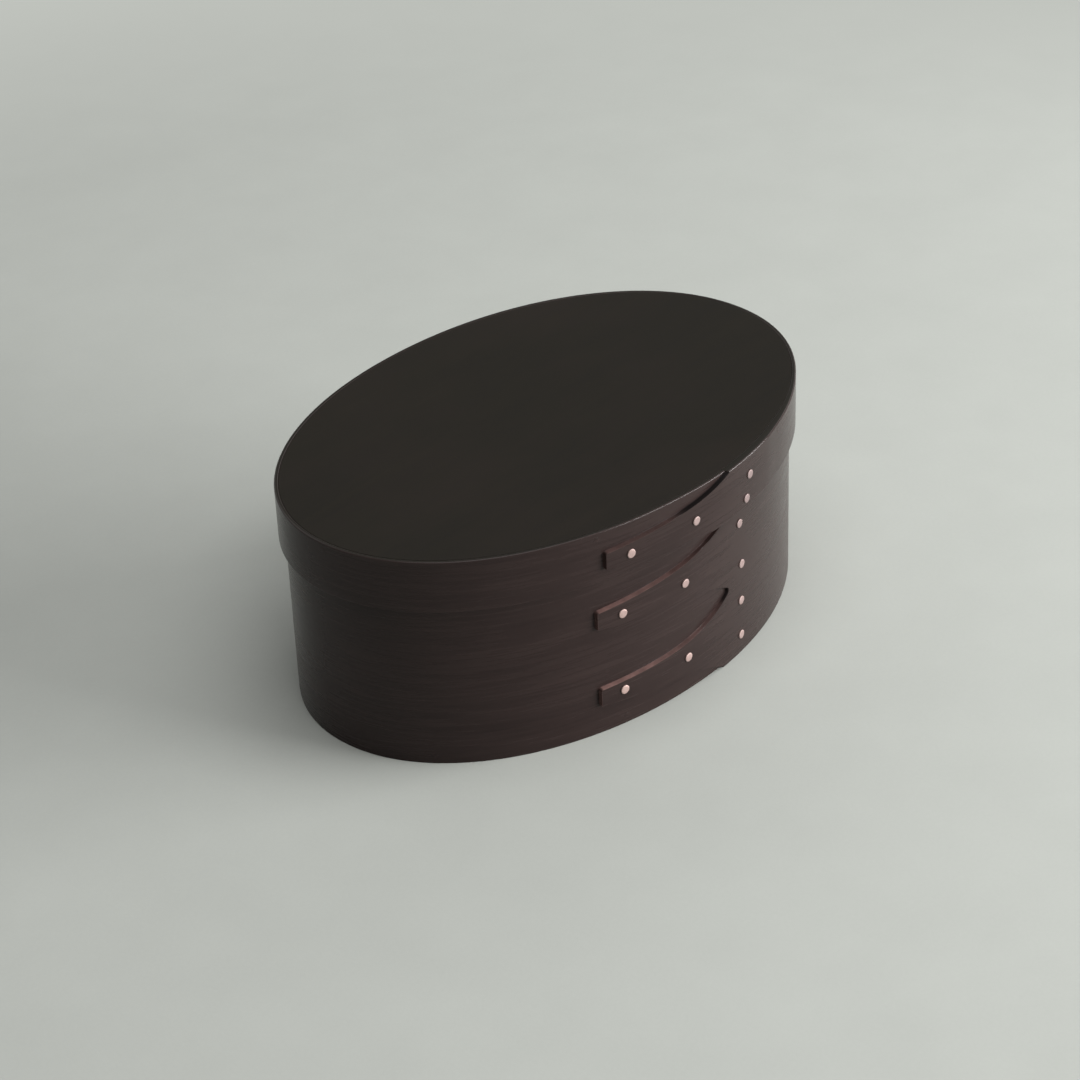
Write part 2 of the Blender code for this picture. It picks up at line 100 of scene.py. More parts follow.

# Strength of the painted shade line along the arris of the base's two fingers
LOWER_LINE, UPPER_LINE = 0.45, 0.75

# Stretches of a finger's length as their start and span, in shares from the tip: where bevels turn
# square, where painted shade darkens the edges, where the painted shade line along an arris sets in, and
# where the painted shade eases off under the lid
SQUARE_STRETCH = (0.56, 0.26)
DARK_STRETCH = (0.90, 0.06)
UNDERSIDE_DARK_STRETCH = (0.955, 0.03)
LINE_STRETCH = (0.62, 0.28)
UNDER_LID_STRETCH = (1.0, 0.08)
LID_SQUARE_STRETCH = (0.44, 0.14)
LID_DARK_STRETCH = (0.50, 0.12)

# Edges of the lap: half width of one cut square, reach of the painted shade at its foot, in the pits and
# at the tips, length over which the rubbing sets in at a tip, step and overrun of the outline
SQUARE_EDGE = 0.08 * MM
FOOT_REACH = 0.22 * MM
PIT_REACH = 0.95 * MM
TIP_REACH = 0.03 * MM
RUB_FADE = 0.8 * MM
OUTLINE_STEP = 0.4 * MM
OVERRUN = 3 * MM

# Stretch round the lap in which a band's mesh looks for the outline, and the least room that its rows
# keep in the throat and at the rims
BEFORE_LAP = 4 * MM
PAST_LAP = 14 * MM
THROAT_ROOM = 1.0 * MM
RIM_ROOM = 0.8 * MM

# Radius of the bands' inner rims, and the step of their inner face past the strip's thinned end
INNER_RIM_RADIUS = 0.25 * MM
INNER_STEP = 0.10 * MM

# Mesh of the bands: step of the plain columns, distances of the rows past an edge's bevel, how far a
# leaning edge may spread them, rows between two edges, and the angle from which a turn is shaded sharp
COLUMN_STEP = 2.4 * MM
ROWS_PAST_BEVEL = np.array([0.05, 0.12, 0.21, 0.32, 0.48]) * MM
MOST_LEAN = 2.5
ROWS_BETWEEN = 4
CREASE_ANGLE = math.radians(35)

# Thinning of the strips' inner ends, and the lid band's swell over the lap beneath it
BASE_FEATHER_START = -5.0 * MM
BASE_FEATHER_LENGTH = 61.0 * MM
LID_FEATHER_START = 30.0 * MM
LID_FEATHER_LENGTH = 35.0 * MM
LID_SWELL_LENGTH = 30.0 * MM

# Camera: the photograph's size, where the box's middle falls in it and the focal length, in its pixels,
# the distance along the line of sight, and the sensor's width in millimetres
PHOTO_SIZE = 1080
PHOTO_CENTRE = (545.654, 515.933)
CAMERA_FOCAL = 3025.56
CAMERA_DEPTH = 852.14 * MM
SENSOR_WIDTH = 36.0

# Lamps: direction round the box from +X and elevation in degrees, distance and size in metres, share of
# the power
LAMPS = (
    ("low_lamp", -51.5, 12.0, 1.3, (1.2, 0.3), 0.630),
    ("top_lamp", -91.5, 75.0, 1.5, (1.4, 1.4), 0.288),
    ("side_back_lamp", 20.0, 35.0, 1.3, (0.9, 0.5), 0.032),
    ("back_lamp", 58.5, 42.0, 1.3, (0.7, 0.7), 0.022),
    ("far_back_lamp", 100.0, 40.0, 1.3, (0.9, 0.5), 0.018),
)
LAMP_AIM = (0.0, 0.0, 30 * MM)

# Half the floor's width, and distances from the box over which it fades to its plain colour, in metres
FLOOR_REACH = 12.0
NEAR_FLOOR, FAR_FLOOR = 0.36, 0.54

# Index of refraction of the stained wood, and colours that no setting holds, as linear values
WOOD_IOR = 1.46
# Near-black colour of the painted shade laid in the lap's crevices, at the roots, in the throats and at the
# tips
PAINTED_SHADE_COLOUR = (0.004, 0.003, 0.003, 1.0)
TARNISH = (0.22, 0.11, 0.08, 1.0)
ROOM_COLOUR = (0.94, 0.97, 1.0, 1.0)

# Small turned pieces: columns round them and unevenness of their outline, with the sizes inside the wood
TACK_COLUMNS, TACK_WOBBLE = 40, 0.025
PEG_COLUMNS, PEG_WOBBLE = 28, 0.02
CLINCH_RADIUS, SHANK_RADIUS = 0.9 * MM, 0.5 * MM
PEG_RADIUS, PEG_DEPTH = 0.8 * MM, 7.0 * MM

Finger = namedtuple("Finger", "tip length height rise tip_half root_half taper_share")


def smooth_step(share):
    """Rise from 0 to 1 with level ends: 3 x squared minus 2 x cubed, x held between 0 and 1."""
    share = np.clip(share, 0.0, 1.0)
    return share * share * (3 - 2 * share)


def eased(share, stretch):
    """Smooth step of a share over a stretch given by its start and span."""
    start, span = stretch
    return smooth_step((share - start) / span)


def bell(distance, width):
    """Bell curve, 1 at no distance: e to the minus square of distance over width."""
    return np.exp(-(np.asarray(distance) / width) ** 2)


def plateau(distance, width):
    """Level top with soft flanks: e to the minus 0.6 times the fourth power of distance over width."""
    return np.exp(-0.6 * (np.asarray(distance) / width) ** 4)


class Oval:
    """The base band's outer oval, |x/a|^n + |y/b|^n = 1, measured along its edge.

    x = a |sin v|^(2/n) and y = -b |cos v|^(2/n) with their signs, for the angle v from the front; the
    distance s along it comes from a table of summed chords.
    """

    STEPS = 8192

    def __init__(self, half_length, half_width, exponent):
        self.a, self.b, self.n = half_length, half_width, exponent
        v = np.linspace(-math.pi, math.pi, 2 * self.STEPS + 1)
        along, across = np.sin(v), -np.cos(v)
        self.x = self.a * np.sign(along) * np.abs(along) ** (2 / exponent)
        self.y = self.b * np.sign(across) * np.abs(across) ** (2 / exponent)
        chords = np.hypot(np.diff(self.x), np.diff(self.y))
        self.s = np.concatenate([[0.0], np.cumsum(chords)])
        self.s -= self.s[self.STEPS]
        self.length = self.s[-1] - self.s[0]

    def wrap(self, s):
        """Distance taken the shorter way round from the middle of the front."""
        return (np.asarray(s) + self.length / 2) % self.length - self.length / 2

    def frame_at(self, s):
        """Foot point and outward direction, the oval's gradient, at distances s."""
        s = self.wrap(s)
        x, y = np.interp(s, self.s, self.x), np.interp(s, self.s, self.y)
        nx = np.sign(x) * np.abs(x / self.a) ** (self.n - 1) / self.a
        ny = np.sign(y) * np.abs(y / self.b) ** (self.n - 1) / self.b
        size = np.hypot(nx, ny)
        return x, y, nx / size, ny / size

    def place(self, s, z, t):
        """Points at distances s, heights z and t outwards, as an array of x, y, z."""
        s, z, t = np.broadcast_arrays(s, z, t)
        x, y, nx, ny = self.frame_at(s)
        return np.stack([x + t * nx, y + t * ny, z], axis=-1)

    def nearest(self, x, y):
        """Distance s of the oval's point nearest to x, y."""
        return float(self.s[np.argmin(np.hypot(self.x - x, self.y - y))])


def read_sizes():
    """Heights and the lid's half sizes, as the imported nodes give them."""
    lid_low, lid_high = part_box("lid_band")
    return {
        "total_height": lid_high.z,
        "lid_bottom": lid_low.z,
        "base_top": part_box("base_band")[1].z,
        "base_board_top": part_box("base_board")[1].z,
        "lid_board_bottom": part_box("lid_board")[0].z,
        "lid_half_length": lid_high.x,
        "lid_half_width": lid_high.y,
    }


SIZES = read_sizes()
OVAL = Oval(SIZES["lid_half_length"] - BAND_THICKNESS - LID_CLEARANCE,
            SIZES["lid_half_width"] - BAND_THICKNESS - LID_CLEARANCE, OVAL_EXPONENT)
UPPER_FINGER_HEIGHT = SIZES["lid_bottom"] - UPPER_FINGER_DROP
FINGER_PITCH = UPPER_FINGER_HEIGHT - LOWER_FINGER_HEIGHT
LOWER_FINGER = Finger(BASE_THROAT_PLACE - LOWER_FINGER_LENGTH, LOWER_FINGER_LENGTH, LOWER_FINGER_HEIGHT,
                      LOWER_FINGER_RISE, BASE_FINGER_TIP_WIDTH / 2, FINGER_PITCH / 2 + LOWER_ROOT_WIDENING,
                      LOWER_TAPER_SHARE)
UPPER_FINGER = Finger(BASE_THROAT_PLACE - UPPER_FINGER_LENGTH, UPPER_FINGER_LENGTH, UPPER_FINGER_HEIGHT,
                      UPPER_FINGER_RISE, BASE_FINGER_TIP_WIDTH / 2, FINGER_PITCH / 2, UPPER_TAPER_SHARE)
LID_FINGER = Finger(LID_ROOT_PLACE - LID_FINGER_LENGTH, LID_FINGER_LENGTH,
                    SIZES["total_height"] - LID_FINGER_DROP, 0.0, LID_FINGER_TIP_WIDTH / 2,
                    LID_FINGER_DROP, LID_TAPER_SHARE)


def half_width(finger, s):
    """Half width of a finger: tip half + (root half - tip half)(c u + (1 - c) u^p), u its share from
    the tip, c its taper share and p the arch power."""
    u = np.maximum((s - finger.tip) / finger.length, 0.0)
    swell = finger.taper_share * u + (1 - finger.taper_share) * u ** ARCH_POWER
    return finger.tip_half + (finger.root_half - finger.tip_half) * swell


def finger_edge(finger, s, side):
    """Height of a finger's upper edge (side 1) or lower edge (side -1): its height, its even rise
    towards the root, and plus or minus its half width."""
    share = np.maximum((s - finger.tip) / finger.length, 0.0)
    return finger.height + finger.rise * share + side * half_width(finger, s)


def place_of_edge(finger, side, height):
    """Place where a finger's edge reaches a height."""
    s = np.linspace(finger.tip, finger.tip + 2 * finger.length, 20001)
    return float(np.interp(side * height, side * finger_edge(finger, s, side), s))


LAP_UNDER_LID_PLACE = place_of_edge(UPPER_FINGER, 1, SIZES["lid_bottom"])


def feather(s, start, length):
    """Thickness of a strip's inner end: full before start, falling evenly to nothing after length."""
    return BAND_THICKNESS * np.clip((start + length - s) / length, 0.0, 1.0)


def lid_swell(s):
    """How far the lid band is bent out over the base's lap, on a smooth step."""
    risen = smooth_step((s - LAP_UNDER_LID_PLACE + LID_SWELL_LENGTH) / LID_SWELL_LENGTH)
    lap = feather(s, BASE_FEATHER_START, BASE_FEATHER_LENGTH)
    return np.maximum(lap + LAP_CLEARANCE - LID_CLEARANCE, 0.0) * risen


def base_faces(s):
    """Inner face, outer face of one layer and outer face of the lap of the base band, as t at s."""
    low = np.zeros_like(s)
    return low - BAND_THICKNESS, low, low + feather(s, BASE_FEATHER_START, BASE_FEATHER_LENGTH)


def lid_faces(s):
    """Inner face, outer face of one layer and outer face of the lap of the lid band, as t at s."""
    inner = LID_CLEARANCE + lid_swell(s)
    low = inner + BAND_THICKNESS
    return inner, low, low + feather(s, LID_FEATHER_START, LID_FEATHER_LENGTH)


Band = namedtuple("Band", "name body fingers bottom top faces inner_end")
BASE_BAND = Band("base_band", "base", (LOWER_FINGER, UPPER_FINGER), 0.0, SIZES["base_top"], base_faces,
                 BASE_FEATHER_START + BASE_FEATHER_LENGTH)
LID_BAND = Band("lid_band", "lid", (LID_FINGER,), SIZES["lid_bottom"], SIZES["total_height"], lid_faces,
                LID_FEATHER_START + LID_FEATHER_LENGTH)


def corner_arc(centre, radius, start, end):
    """Quarter turn of a finger's corner: the centre plus the radius turned from start to end."""
    angle = np.linspace(start, end, 9)
    return np.stack([centre[0] + radius * np.cos(angle), centre[1] + radius * np.sin(angle)], axis=1)


def lap_outline(band, shape):
    """Outline of the upper layer in the s, z plane, walked with the layer on its right hand. After s and
    z each of its points has the bevel's half width, the rubbed wear on it (partly painted light at the
    tips and near the lid finger's tip), the painted shade on it, the strength of the painted shade line
    along its arris and the reach of the painted shade at its foot.

    Each finger's long edges are its height plus and minus its half width; its tip is cut square with
    small rounded corners; two fingers meet in a throat whose end is part of a circle that touches both
    edges, and is filled with painted shade. The upper edges are bevelled and rubbed near the tips, and
    cut square at the roots, where shade is painted. Past the throat, under the lid, the painted shade
    eases off.
    """
    parts = []
    first, last = band.fingers[0], band.fingers[-1]
    radius = shape.corner_radius
    wide, narrow = shape.bevel_width / 2, shape.tip_bevel / 2
    # Tips: rubbed colour lightens the end walls that lie in shade (painted light), and on the lid painted
    # shade darkens them
    tip_rub_and_light, tip_shade = (0.12, 0.30) if band is LID_BAND else (0.30, 0.0)

    def add(points, *facts):
        """Add points, each fact given once for all of them or one by one."""
        points = np.asarray(points)
        parts.append(np.column_stack([points, *(np.broadcast_to(fact, len(points)) for fact in facts)]))

    def long_edge(finger, start, end, side):
        """Edge from start to end, above the finger's middle (side 1) or below it (side -1)."""
        s = np.linspace(start, end, int(abs(end - start) / OUTLINE_STEP) + 2)
        from_tip = (s - finger.tip) / finger.length
        near_tip = smooth_step((s - finger.tip) / RUB_FADE)
        square = eased(from_tip, SQUARE_STRETCH)
        rub_and_glint = line = 0.0
        # dark, line and reach give painted shade: on the edge, along the arris, and spreading from the foot
        if side < 0:
            dark = eased(from_tip, UNDERSIDE_DARK_STRETCH) * (finger is not first)
            reach = FOOT_REACH + (PIT_REACH - FOOT_REACH) * dark
        elif band is LID_BAND:
            square = eased(from_tip, LID_SQUARE_STRETCH)
            rub_and_glint = np.interp(from_tip, *LID_RUB_AND_GLINT) * near_tip
            dark = eased(from_tip, LID_DARK_STRETCH)
            reach = FOOT_REACH * (1 + 0.6 * dark)
        else:
            table, strength = (LOWER_RUB, LOWER_LINE) if finger is first else (UPPER_RUB, UPPER_LINE)
            deep, under_lid = eased(from_tip, DARK_STRETCH), eased(from_tip, UNDER_LID_STRETCH)
            rub_and_glint = np.interp(from_tip, *table) * (1 - deep) * near_tip
            dark = deep * (1 - 0.5 * under_lid)
            line = strength * eased(from_tip, LINE_STRETCH) * (1 - under_lid)
            reach = FOOT_REACH + (PIT_REACH - FOOT_REACH) * deep * (1 - under_lid)
        add(np.stack([s, finger_edge(finger, s, side)], axis=1),
            wide + (SQUARE_EDGE - wide) * square, rub_and_glint, dark, line, reach)

    start = place_of_edge(first, -1, band.bottom - OVERRUN)
    for number, finger in enumerate(band.fingers):
        corner = finger.tip + radius
        low, high = (finger_edge(finger, corner, side) for side in (-1, 1))
        long_edge(finger, start, corner, -1)
        add(corner_arc((corner, low + radius), radius, -math.pi / 2, -math.pi)[1:],
            narrow, tip_rub_and_light, tip_shade, 0.0, TIP_REACH)
        add([(finger.tip, finger.height)], narrow, tip_rub_and_light, tip_shade, 0.0, TIP_REACH)
        add(corner_arc((corner, high - radius), radius, math.pi, math.pi / 2)[:-1],
            narrow, tip_rub_and_light, 0.7 * tip_shade, 0.0, TIP_REACH)
        if finger is last:
            long_edge(finger, corner, place_of_edge(last, 1, band.top + OVERRUN), 1)
            continue
        above = band.fingers[number + 1]
        s = np.linspace(finger.tip, finger.tip + finger.length, 2001)
        under, over = finger_edge(finger, s, 1), finger_edge(above, s, -1)
        middle, gap = (under + over) / 2, (over - under) / 2
        slope = -np.gradient(gap, s)
        room = gap / np.sqrt(1 + slope ** 2)
        centre = float(np.interp(-shape.throat_radius, -room, s))
        height = float(np.interp(centre, s, middle))
        lean = math.atan(float(np.interp(centre, s, slope)))
        touch = centre + shape.throat_radius * math.sin(lean)
        long_edge(finger, corner, touch, 1)
        # The throat's end: painted shade all round it, spreading far into the pit
        turn = np.linspace(lean - math.pi / 2, math.pi / 2 - lean, 25)[1:-1]
        add(np.stack([centre + shape.throat_radius * np.cos(turn),
                      height + shape.throat_radius * np.sin(turn)], axis=1),
            SQUARE_EDGE, 0.0, 1.0, 0.0, PIT_REACH)
        start = touch
    return np.concatenate(parts)


def distance_to_outline(s, z, outline):
    """Signed distance from points to the outline, positive on the upper layer, and what the outline
    holds for its nearest point.

    Each point is dropped square onto every piece of the outline, the nearest foot is kept, and the sign
    is that of the cross product of the piece's direction and the way to the point.
    """
    points, facts = outline[:, :2], outline[:, 2:]
    start, step = points[:-1], np.diff(points, axis=0)
    square = (step ** 2).sum(axis=1)
    flat = np.stack([s.ravel(), z.ravel()], axis=1)
    found = np.empty((len(flat), 1 + facts.shape[1]))
    for first in range(0, len(flat), 4096):
        part = slice(first, first + 4096)
        way = flat[part, None, :] - start[None]
        share = np.clip((way * step[None]).sum(axis=2) / square, 0.0, 1.0)
        rest = way - share[..., None] * step[None]
        gap = (rest ** 2).sum(axis=2)
        near = gap.argmin(axis=1)
        rows = np.arange(len(near))
        cross = step[near, 0] * way[rows, near, 1] - step[near, 1] * way[rows, near, 0]
        found[part, 0] = np.sqrt(gap[rows, near]) * -np.sign(cross)
        share = share[rows, near, None]
        found[part, 1:] = facts[near] + (facts[near + 1] - facts[near]) * share
    return [found[:, k].reshape(s.shape) for k in range(found.shape[1])]


def column_places(dense):
    """Places of a band's columns: even steps of the summed density, where dense lists (middle, reach,
    spacing) for the stretches that need finer columns than the rest of the oval."""
    s = np.linspace(-OVAL.length / 2, OVAL.length / 2, 40001)
    density = np.full_like(s, 1 / COLUMN_STEP)
    for middle, reach, spacing in dense:
        flank = np.clip((np.abs(s - middle) - reach) / (2 * MM), 0.0, None)
        density = np.maximum(density, np.exp(-flank ** 2) / spacing)
    total = np.concatenate([[0.0], np.cumsum((density[1:] + density[:-1]) / 2 * np.diff(s))])
    count = int(total[-1])
    return np.interp(np.arange(count) / count * total[-1], total, s)


def row_heights(levels, leans, offsets, fills):
    """Heights of a band's rows at each column: on both sides of each level by the offsets, stretched
    where the level leans so that they lie square to it, held to the room there is, with evenly spaced
    fills between."""
    rows = [levels[0]]
    for below, above, lean, next_lean in zip(levels, levels[1:], leans, leans[1:]):
        room = 0.48 * (above - below) / offsets[-1]
        near = [below + offset * np.minimum(lean, room) for offset in offsets]
        far = [above - offset * np.minimum(next_lean, room) for offset in offsets[::-1]]
        shares = np.arange(1, fills + 1) / (fills + 1)
        rows += near + [near[-1] + (far[0] - near[-1]) * share for share in shares] + far + [above]
    return np.stack(rows)


def mesh_object(name, points, faces, attributes=(), crease=0.0):
    """An object at the origin from arrays of points and faces, turned outwards by its signed volume.
    Edges where its faces turn by more than the crease angle, if there is one, are shaded sharp."""
    old = bpy.data.objects.get(name)
    if old is not None:
        bpy.data.objects.remove(old, do_unlink=True)
    volume = 0.0
    for group in faces:
        corner = points[group]
        for k in range(1, group.shape[1] - 1):
            volume += np.einsum("ij,ij->", corner[:, 0], np.cross(corner[:, k], corner[:, k + 1]))
    if volume < 0:
        faces = [group[:, ::-1] for group in faces]
    data = bpy.data.meshes.new(name)
    data.from_pydata(points, [], [tuple(face) for group in faces for face in group.tolist()])
    for key, kind, values in attributes:
        layer = data.attributes.new(key, kind, "POINT")
        field = "vector" if kind == "FLOAT_VECTOR" else "value"
        layer.data.foreach_set(field, np.ascontiguousarray(values, dtype=np.float32).ravel())
    data.polygons.foreach_set("use_smooth", np.full(len(data.polygons), True))
    if crease:
        data.set_sharp_from_angle(angle=crease)
    data.update()
    item = bpy.data.objects.new(name, data)
    bpy.context.scene.collection.objects.link(item)
    return item


def ring_faces(rows, columns):
    """Quads of a grid whose rows and columns both close on themselves."""
    row, column = np.meshgrid(np.arange(rows), np.arange(columns), indexing="ij")
    up, on = (row + 1) % rows, (column + 1) % columns
    return np.stack([row * columns + column, row * columns + on,
                     up * columns + on, up * columns + column], axis=-1).reshape(-1, 4)


def turned_faces(rings, columns):
    """Quads between rings of points and triangles to the two poles that come after them."""
    column = np.arange(columns)
    on = (column + 1) % columns
    ring = np.arange(rings - 1)[:, None] * columns
    quads = np.stack([ring + column, ring + on, ring + columns + on, ring + columns + column], axis=-1)
    last_ring, poles = (rings - 1) * columns, rings * columns
    low = np.stack([on, column, np.full(columns, poles)], axis=1)
    high = np.stack([last_ring + column, last_ring + on, np.full(columns, poles + 1)], axis=1)
    return [quads.reshape(-1, 4), low, high]


def strip_vector(s, z):
    """Seamless place on a strip for its grain: the turn round the oval as a point of the unit circle,
    and the height in millimetres."""
    turn = 2 * math.pi * s / OVAL.length
    return np.stack([np.cos(turn), np.sin(turn), z / MM], axis=-1)


def band_surface(band, shape):
    """A bent band as one closed surface over a grid of columns s and rows round its cross-section.

    The outer face's t is low + (high - low) ramp(d / w), with d the distance to the lap's outline and w
    the bevel's half width there; its rims are quarter circles; the inner face steps out a little past
    the strip's thinned inner end.
    """
    outline = lap_outline(band, shape)
    radius, low_radius, half = shape.rim_radius, shape.low_rim_radius, shape.bevel_width / 2
    first, last = band.fingers[0], band.fingers[-1]
    throat = first.tip + first.length
    tip = min(finger.tip for finger in band.fingers)
    # Finer columns, in turn, in the lap, at the tips, in the throat, past it and at the strip's inner end
    s = column_places([
        ((tip + throat) / 2, (throat - tip) / 2 + 2 * MM, 0.50 * MM),
        *((finger.tip, 0.4 * MM, 0.10 * MM) for finger in band.fingers),
        (throat - 1.5 * MM, 2.5 * MM, 0.16 * MM), ((throat + band.inner_end) / 2, 22 * MM, 1.2 * MM),
        (band.inner_end, 0.4 * MM, 0.15 * MM),
    ])
    inner, low, high = band.faces(s)
    low, high = low - SURFACE_RELIEF, high - SURFACE_RELIEF
    bottom, top = band.bottom + low_radius, band.top - radius

    # Rows lie along the rims and the fingers' edges; the last edge is followed up to the rim
    in_lap = np.clip(s, tip, place_of_edge(first, 1, first.height + FINGER_PITCH / 2))
    to_rim = np.clip(s, tip, place_of_edge(last, 1, band.top))
    edges = [finger_edge(finger, in_lap, side) for finger in band.fingers for side in (-1, 1)]
    levels = [np.full_like(s, bottom), *edges[:-1], finger_edge(last, to_rim, 1), np.full_like(s, top)]
    if len(band.fingers) == 2:
        middle = (levels[2] + levels[3]) / 2
        levels[2] = np.minimum(levels[2], middle - THROAT_ROOM)
        levels[3] = np.maximum(levels[3], middle + THROAT_ROOM)
    levels[1] = np.maximum(levels[1], bottom + RIM_ROOM)
    levels[-2] = np.minimum(levels[-2], top - RIM_ROOM)
    leans = [np.minimum(np.hypot(1.0, np.gradient(level, s)), MOST_LEAN) for level in levels]
    offsets = np.array([0.04 * MM, SQUARE_EDGE, half, *(half + ROWS_PAST_BEVEL)])
    z_outer = row_heights(levels, leans, offsets, ROWS_BETWEEN)
    s_outer = np.broadcast_to(s, z_outer.shape)

    near = (s > tip - BEFORE_LAP) & (s < throat + PAST_LAP)
    distance = np.where(s >= throat + PAST_LAP, 1.0, -1.0) * np.ones(z_outer.shape)
    width = np.full(z_outer.shape, half)
    wear, dark, line = (np.zeros(z_outer.shape) for _ in range(3))
    pool = np.full(z_outer.shape, FOOT_REACH)
    for whole, part in zip((distance, width, wear, dark, line, pool),
                           distance_to_outline(s_outer[:, near], z_outer[:, near], outline)):
        whole[:, near] = part
    share = np.clip((distance / width + 1) / 2, 0.0, 1.0)
    t_outer = low + (high - low) * (0.6 * share + 0.4 * smooth_step(share))
    step = np.clip((high - low) / BAND_THICKNESS, 0.0, 1.0)
    # Rubbed wear, which at the tips and near the lid finger's tip also paints light and a glint
    wear_and_painted_light = plateau(distance, width + 0.05 * MM) * wear * step
    # Painted shade: a dark line along the base fingers' arrises, a pool at the foot of each step reaching
    # far into the throat, and the stretches the outline marks dark
    arris = bell(distance - width - 0.15 * MM, 0.28 * MM) * line
    foot = bell(distance + width + 0.05 * MM, pool) * (distance < 0) * (0.08 + 0.92 * dark)
    painted_shade = np.maximum.reduce([plateau(distance, width + 0.03 * MM) * dark, arris, foot]) * step

    quarter = np.linspace(0, math.pi / 2, 8)[1:, None]
    rise, back = np.sin(quarter), 1 - np.cos(quarter)
    first_row, last_row = np.eye(len(quarter))[:, :1], np.eye(len(quarter))[:, -1:]
    thin = INNER_RIM_RADIUS
    inner = inner + INNER_STEP * smooth_step((s - band.inner_end) / (0.3 * MM)) * np.exp(
        -np.maximum(s - band.inner_end, 0) / (9 * MM))
    z_inner = np.linspace(band.top - thin, band.bottom + thin, 9)[:, None]
    # Each part in turn: t, z, the rubbed wear with its painted light, the painted shade, polish, level
    parts = [
        (t_outer, z_outer, wear_and_painted_light, painted_shade, 0, 0),
        (t_outer[-1] - radius * back, top + radius * rise, 0, 0, 1, last_row),
        (inner + thin * back[::-1], band.top - thin + thin * rise[::-1], 0, 0, 0, first_row),
        (inner * np.ones_like(z_inner), z_inner, 0, 0, 0, 0),
        (inner + thin * back, band.bottom + thin - thin * rise, 0, 0, 0, 0),
        (t_outer[0] - low_radius * back[::-1], bottom - low_radius * rise[::-1], 0, 0, 1, 0),
    ]
    t, z, wear_and_painted_light, painted_shade, polish, level = (
        np.concatenate([np.broadcast_to(part[k], part[0].shape) for part in parts]) for k in range(6))
    s = np.broadcast_to(s, t.shape)
    return mesh_object(f"finished_{band.name}", OVAL.place(s, z, t).reshape(-1, 3), [ring_faces(*t.shape)], [
        ("strip", "FLOAT_VECTOR", strip_vector(s, z)), ("wear_and_painted_light", "FLOAT", wear_and_painted_light),
        ("painted_shade", "FLOAT", painted_shade), ("polish", "FLOAT", polish), ("level", "FLOAT", level),
    ], CREASE_ANGLE)


def board_surface(name, edge, bottom, top):
    """An oval board: rings at shares of its edge's oval, over the underside, round both quarter-circle
    arrises and over the top, closed by a pole in each face. Its faces lie flat to a few hundredths of a
    millimetre: the sum of two slow sine waves, along and across the grain, falling to none at the edge."""
    columns, arris = 256, BOARD_ARRIS
    s = np.arange(columns) / columns * OVAL.length
    rim = OVAL.place(s, 0.0, edge(OVAL.wrap(s)))[:, :2]
    shares = np.linspace(0.06, 1.0, 22)
    turn = np.linspace(0, math.pi / 2, 5)

    def face(z, sign):
        """Rings of a flat face at height z, its waves scaled by sign."""
        x, y = shares[:, None] * rim[:, 0], shares[:, None] * rim[:, 1]
        wave = np.sin(x / (31 * MM) + 0.7) + np.sin(y / (17 * MM) + 1.9)
        wave = (wave - 2) * sign * 0.015 * MM * (1 - shares[:, None] ** 4)
        return np.stack([x, y, z + wave], axis=-1)

    _, _, nx, ny = OVAL.frame_at(s)
    shrink = arris * (1 - np.sin(turn))[:, None]
    under = np.stack([rim[:, 0] - shrink * nx, rim[:, 1] - shrink * ny,
                      bottom + arris * (1 - np.cos(turn))[:, None] * np.ones(columns)], axis=-1)
    over = under[::-1].copy()
    over[..., 2] = top + bottom - over[..., 2]
    inner = 1 - 1.2 * arris / np.hypot(rim[:, 0], rim[:, 1])
    low, high = face(bottom, -1), face(top, 1)
    low[-1, :, :2], high[-1, :, :2] = rim * inner[:, None], rim * inner[:, None]
    rings = np.concatenate([low, under, over, high[::-1]])
    poles = np.array([low[0].mean(axis=0), high[0].mean(axis=0)])
    points = np.concatenate([rings.reshape(-1, 3), poles])
    return mesh_object(name, points, turned_faces(len(rings), columns))


def turned_surface(name, s, z, profile, columns, wobble, number):
    """A small turned piece set square to the band at s, z: rings of radius r and height t from its
    profile, closed by a pole at each end. Its radius swells and shrinks by the wobble on two waves round
    it, whose phases come from its own number."""
    angle = np.arange(columns) / columns * 2 * math.pi
    radius, height = np.array(profile).T
    uneven = 1 + wobble * (0.6 * np.sin(2 * angle + 1.7 * number) + 0.4 * np.sin(3 * angle + 2.9 * number))
    along = radius[:, None] * uneven * np.cos(angle)
    up = radius[:, None] * uneven * np.sin(angle)
    x, y, nx, ny = OVAL.frame_at(np.array(s))

    def set_out(along, up, out):
        """Points from distances along the band, up and out of it."""
        along, up, out = np.broadcast_arrays(along, up, out)
        return np.stack([x + out * nx - along * ny, y + out * ny + along * nx, z + up], axis=-1)

    rings = set_out(along, up, height[:, None])
    poles = np.stack([set_out(0.0, 0.0, height[0]), set_out(0.0, 0.0, height[-1])])
    points = np.concatenate([rings.reshape(-1, 3), poles])
    return mesh_object(name, points, turned_faces(len(profile), columns))


def outer_face_at(band, s, z, shape):
    """Outer face t of a finished band at one place."""
    _, low, high = (float(face) for face in band.faces(np.array(s)))
    first = band.fingers[0]
    if s >= first.tip + first.length + 10 * MM:
        return high
    distance = distance_to_outline(np.array(s), np.array(z), lap_outline(band, shape))[0]
    return high if distance > 0 and s > min(finger.tip for finger in band.fingers) else low


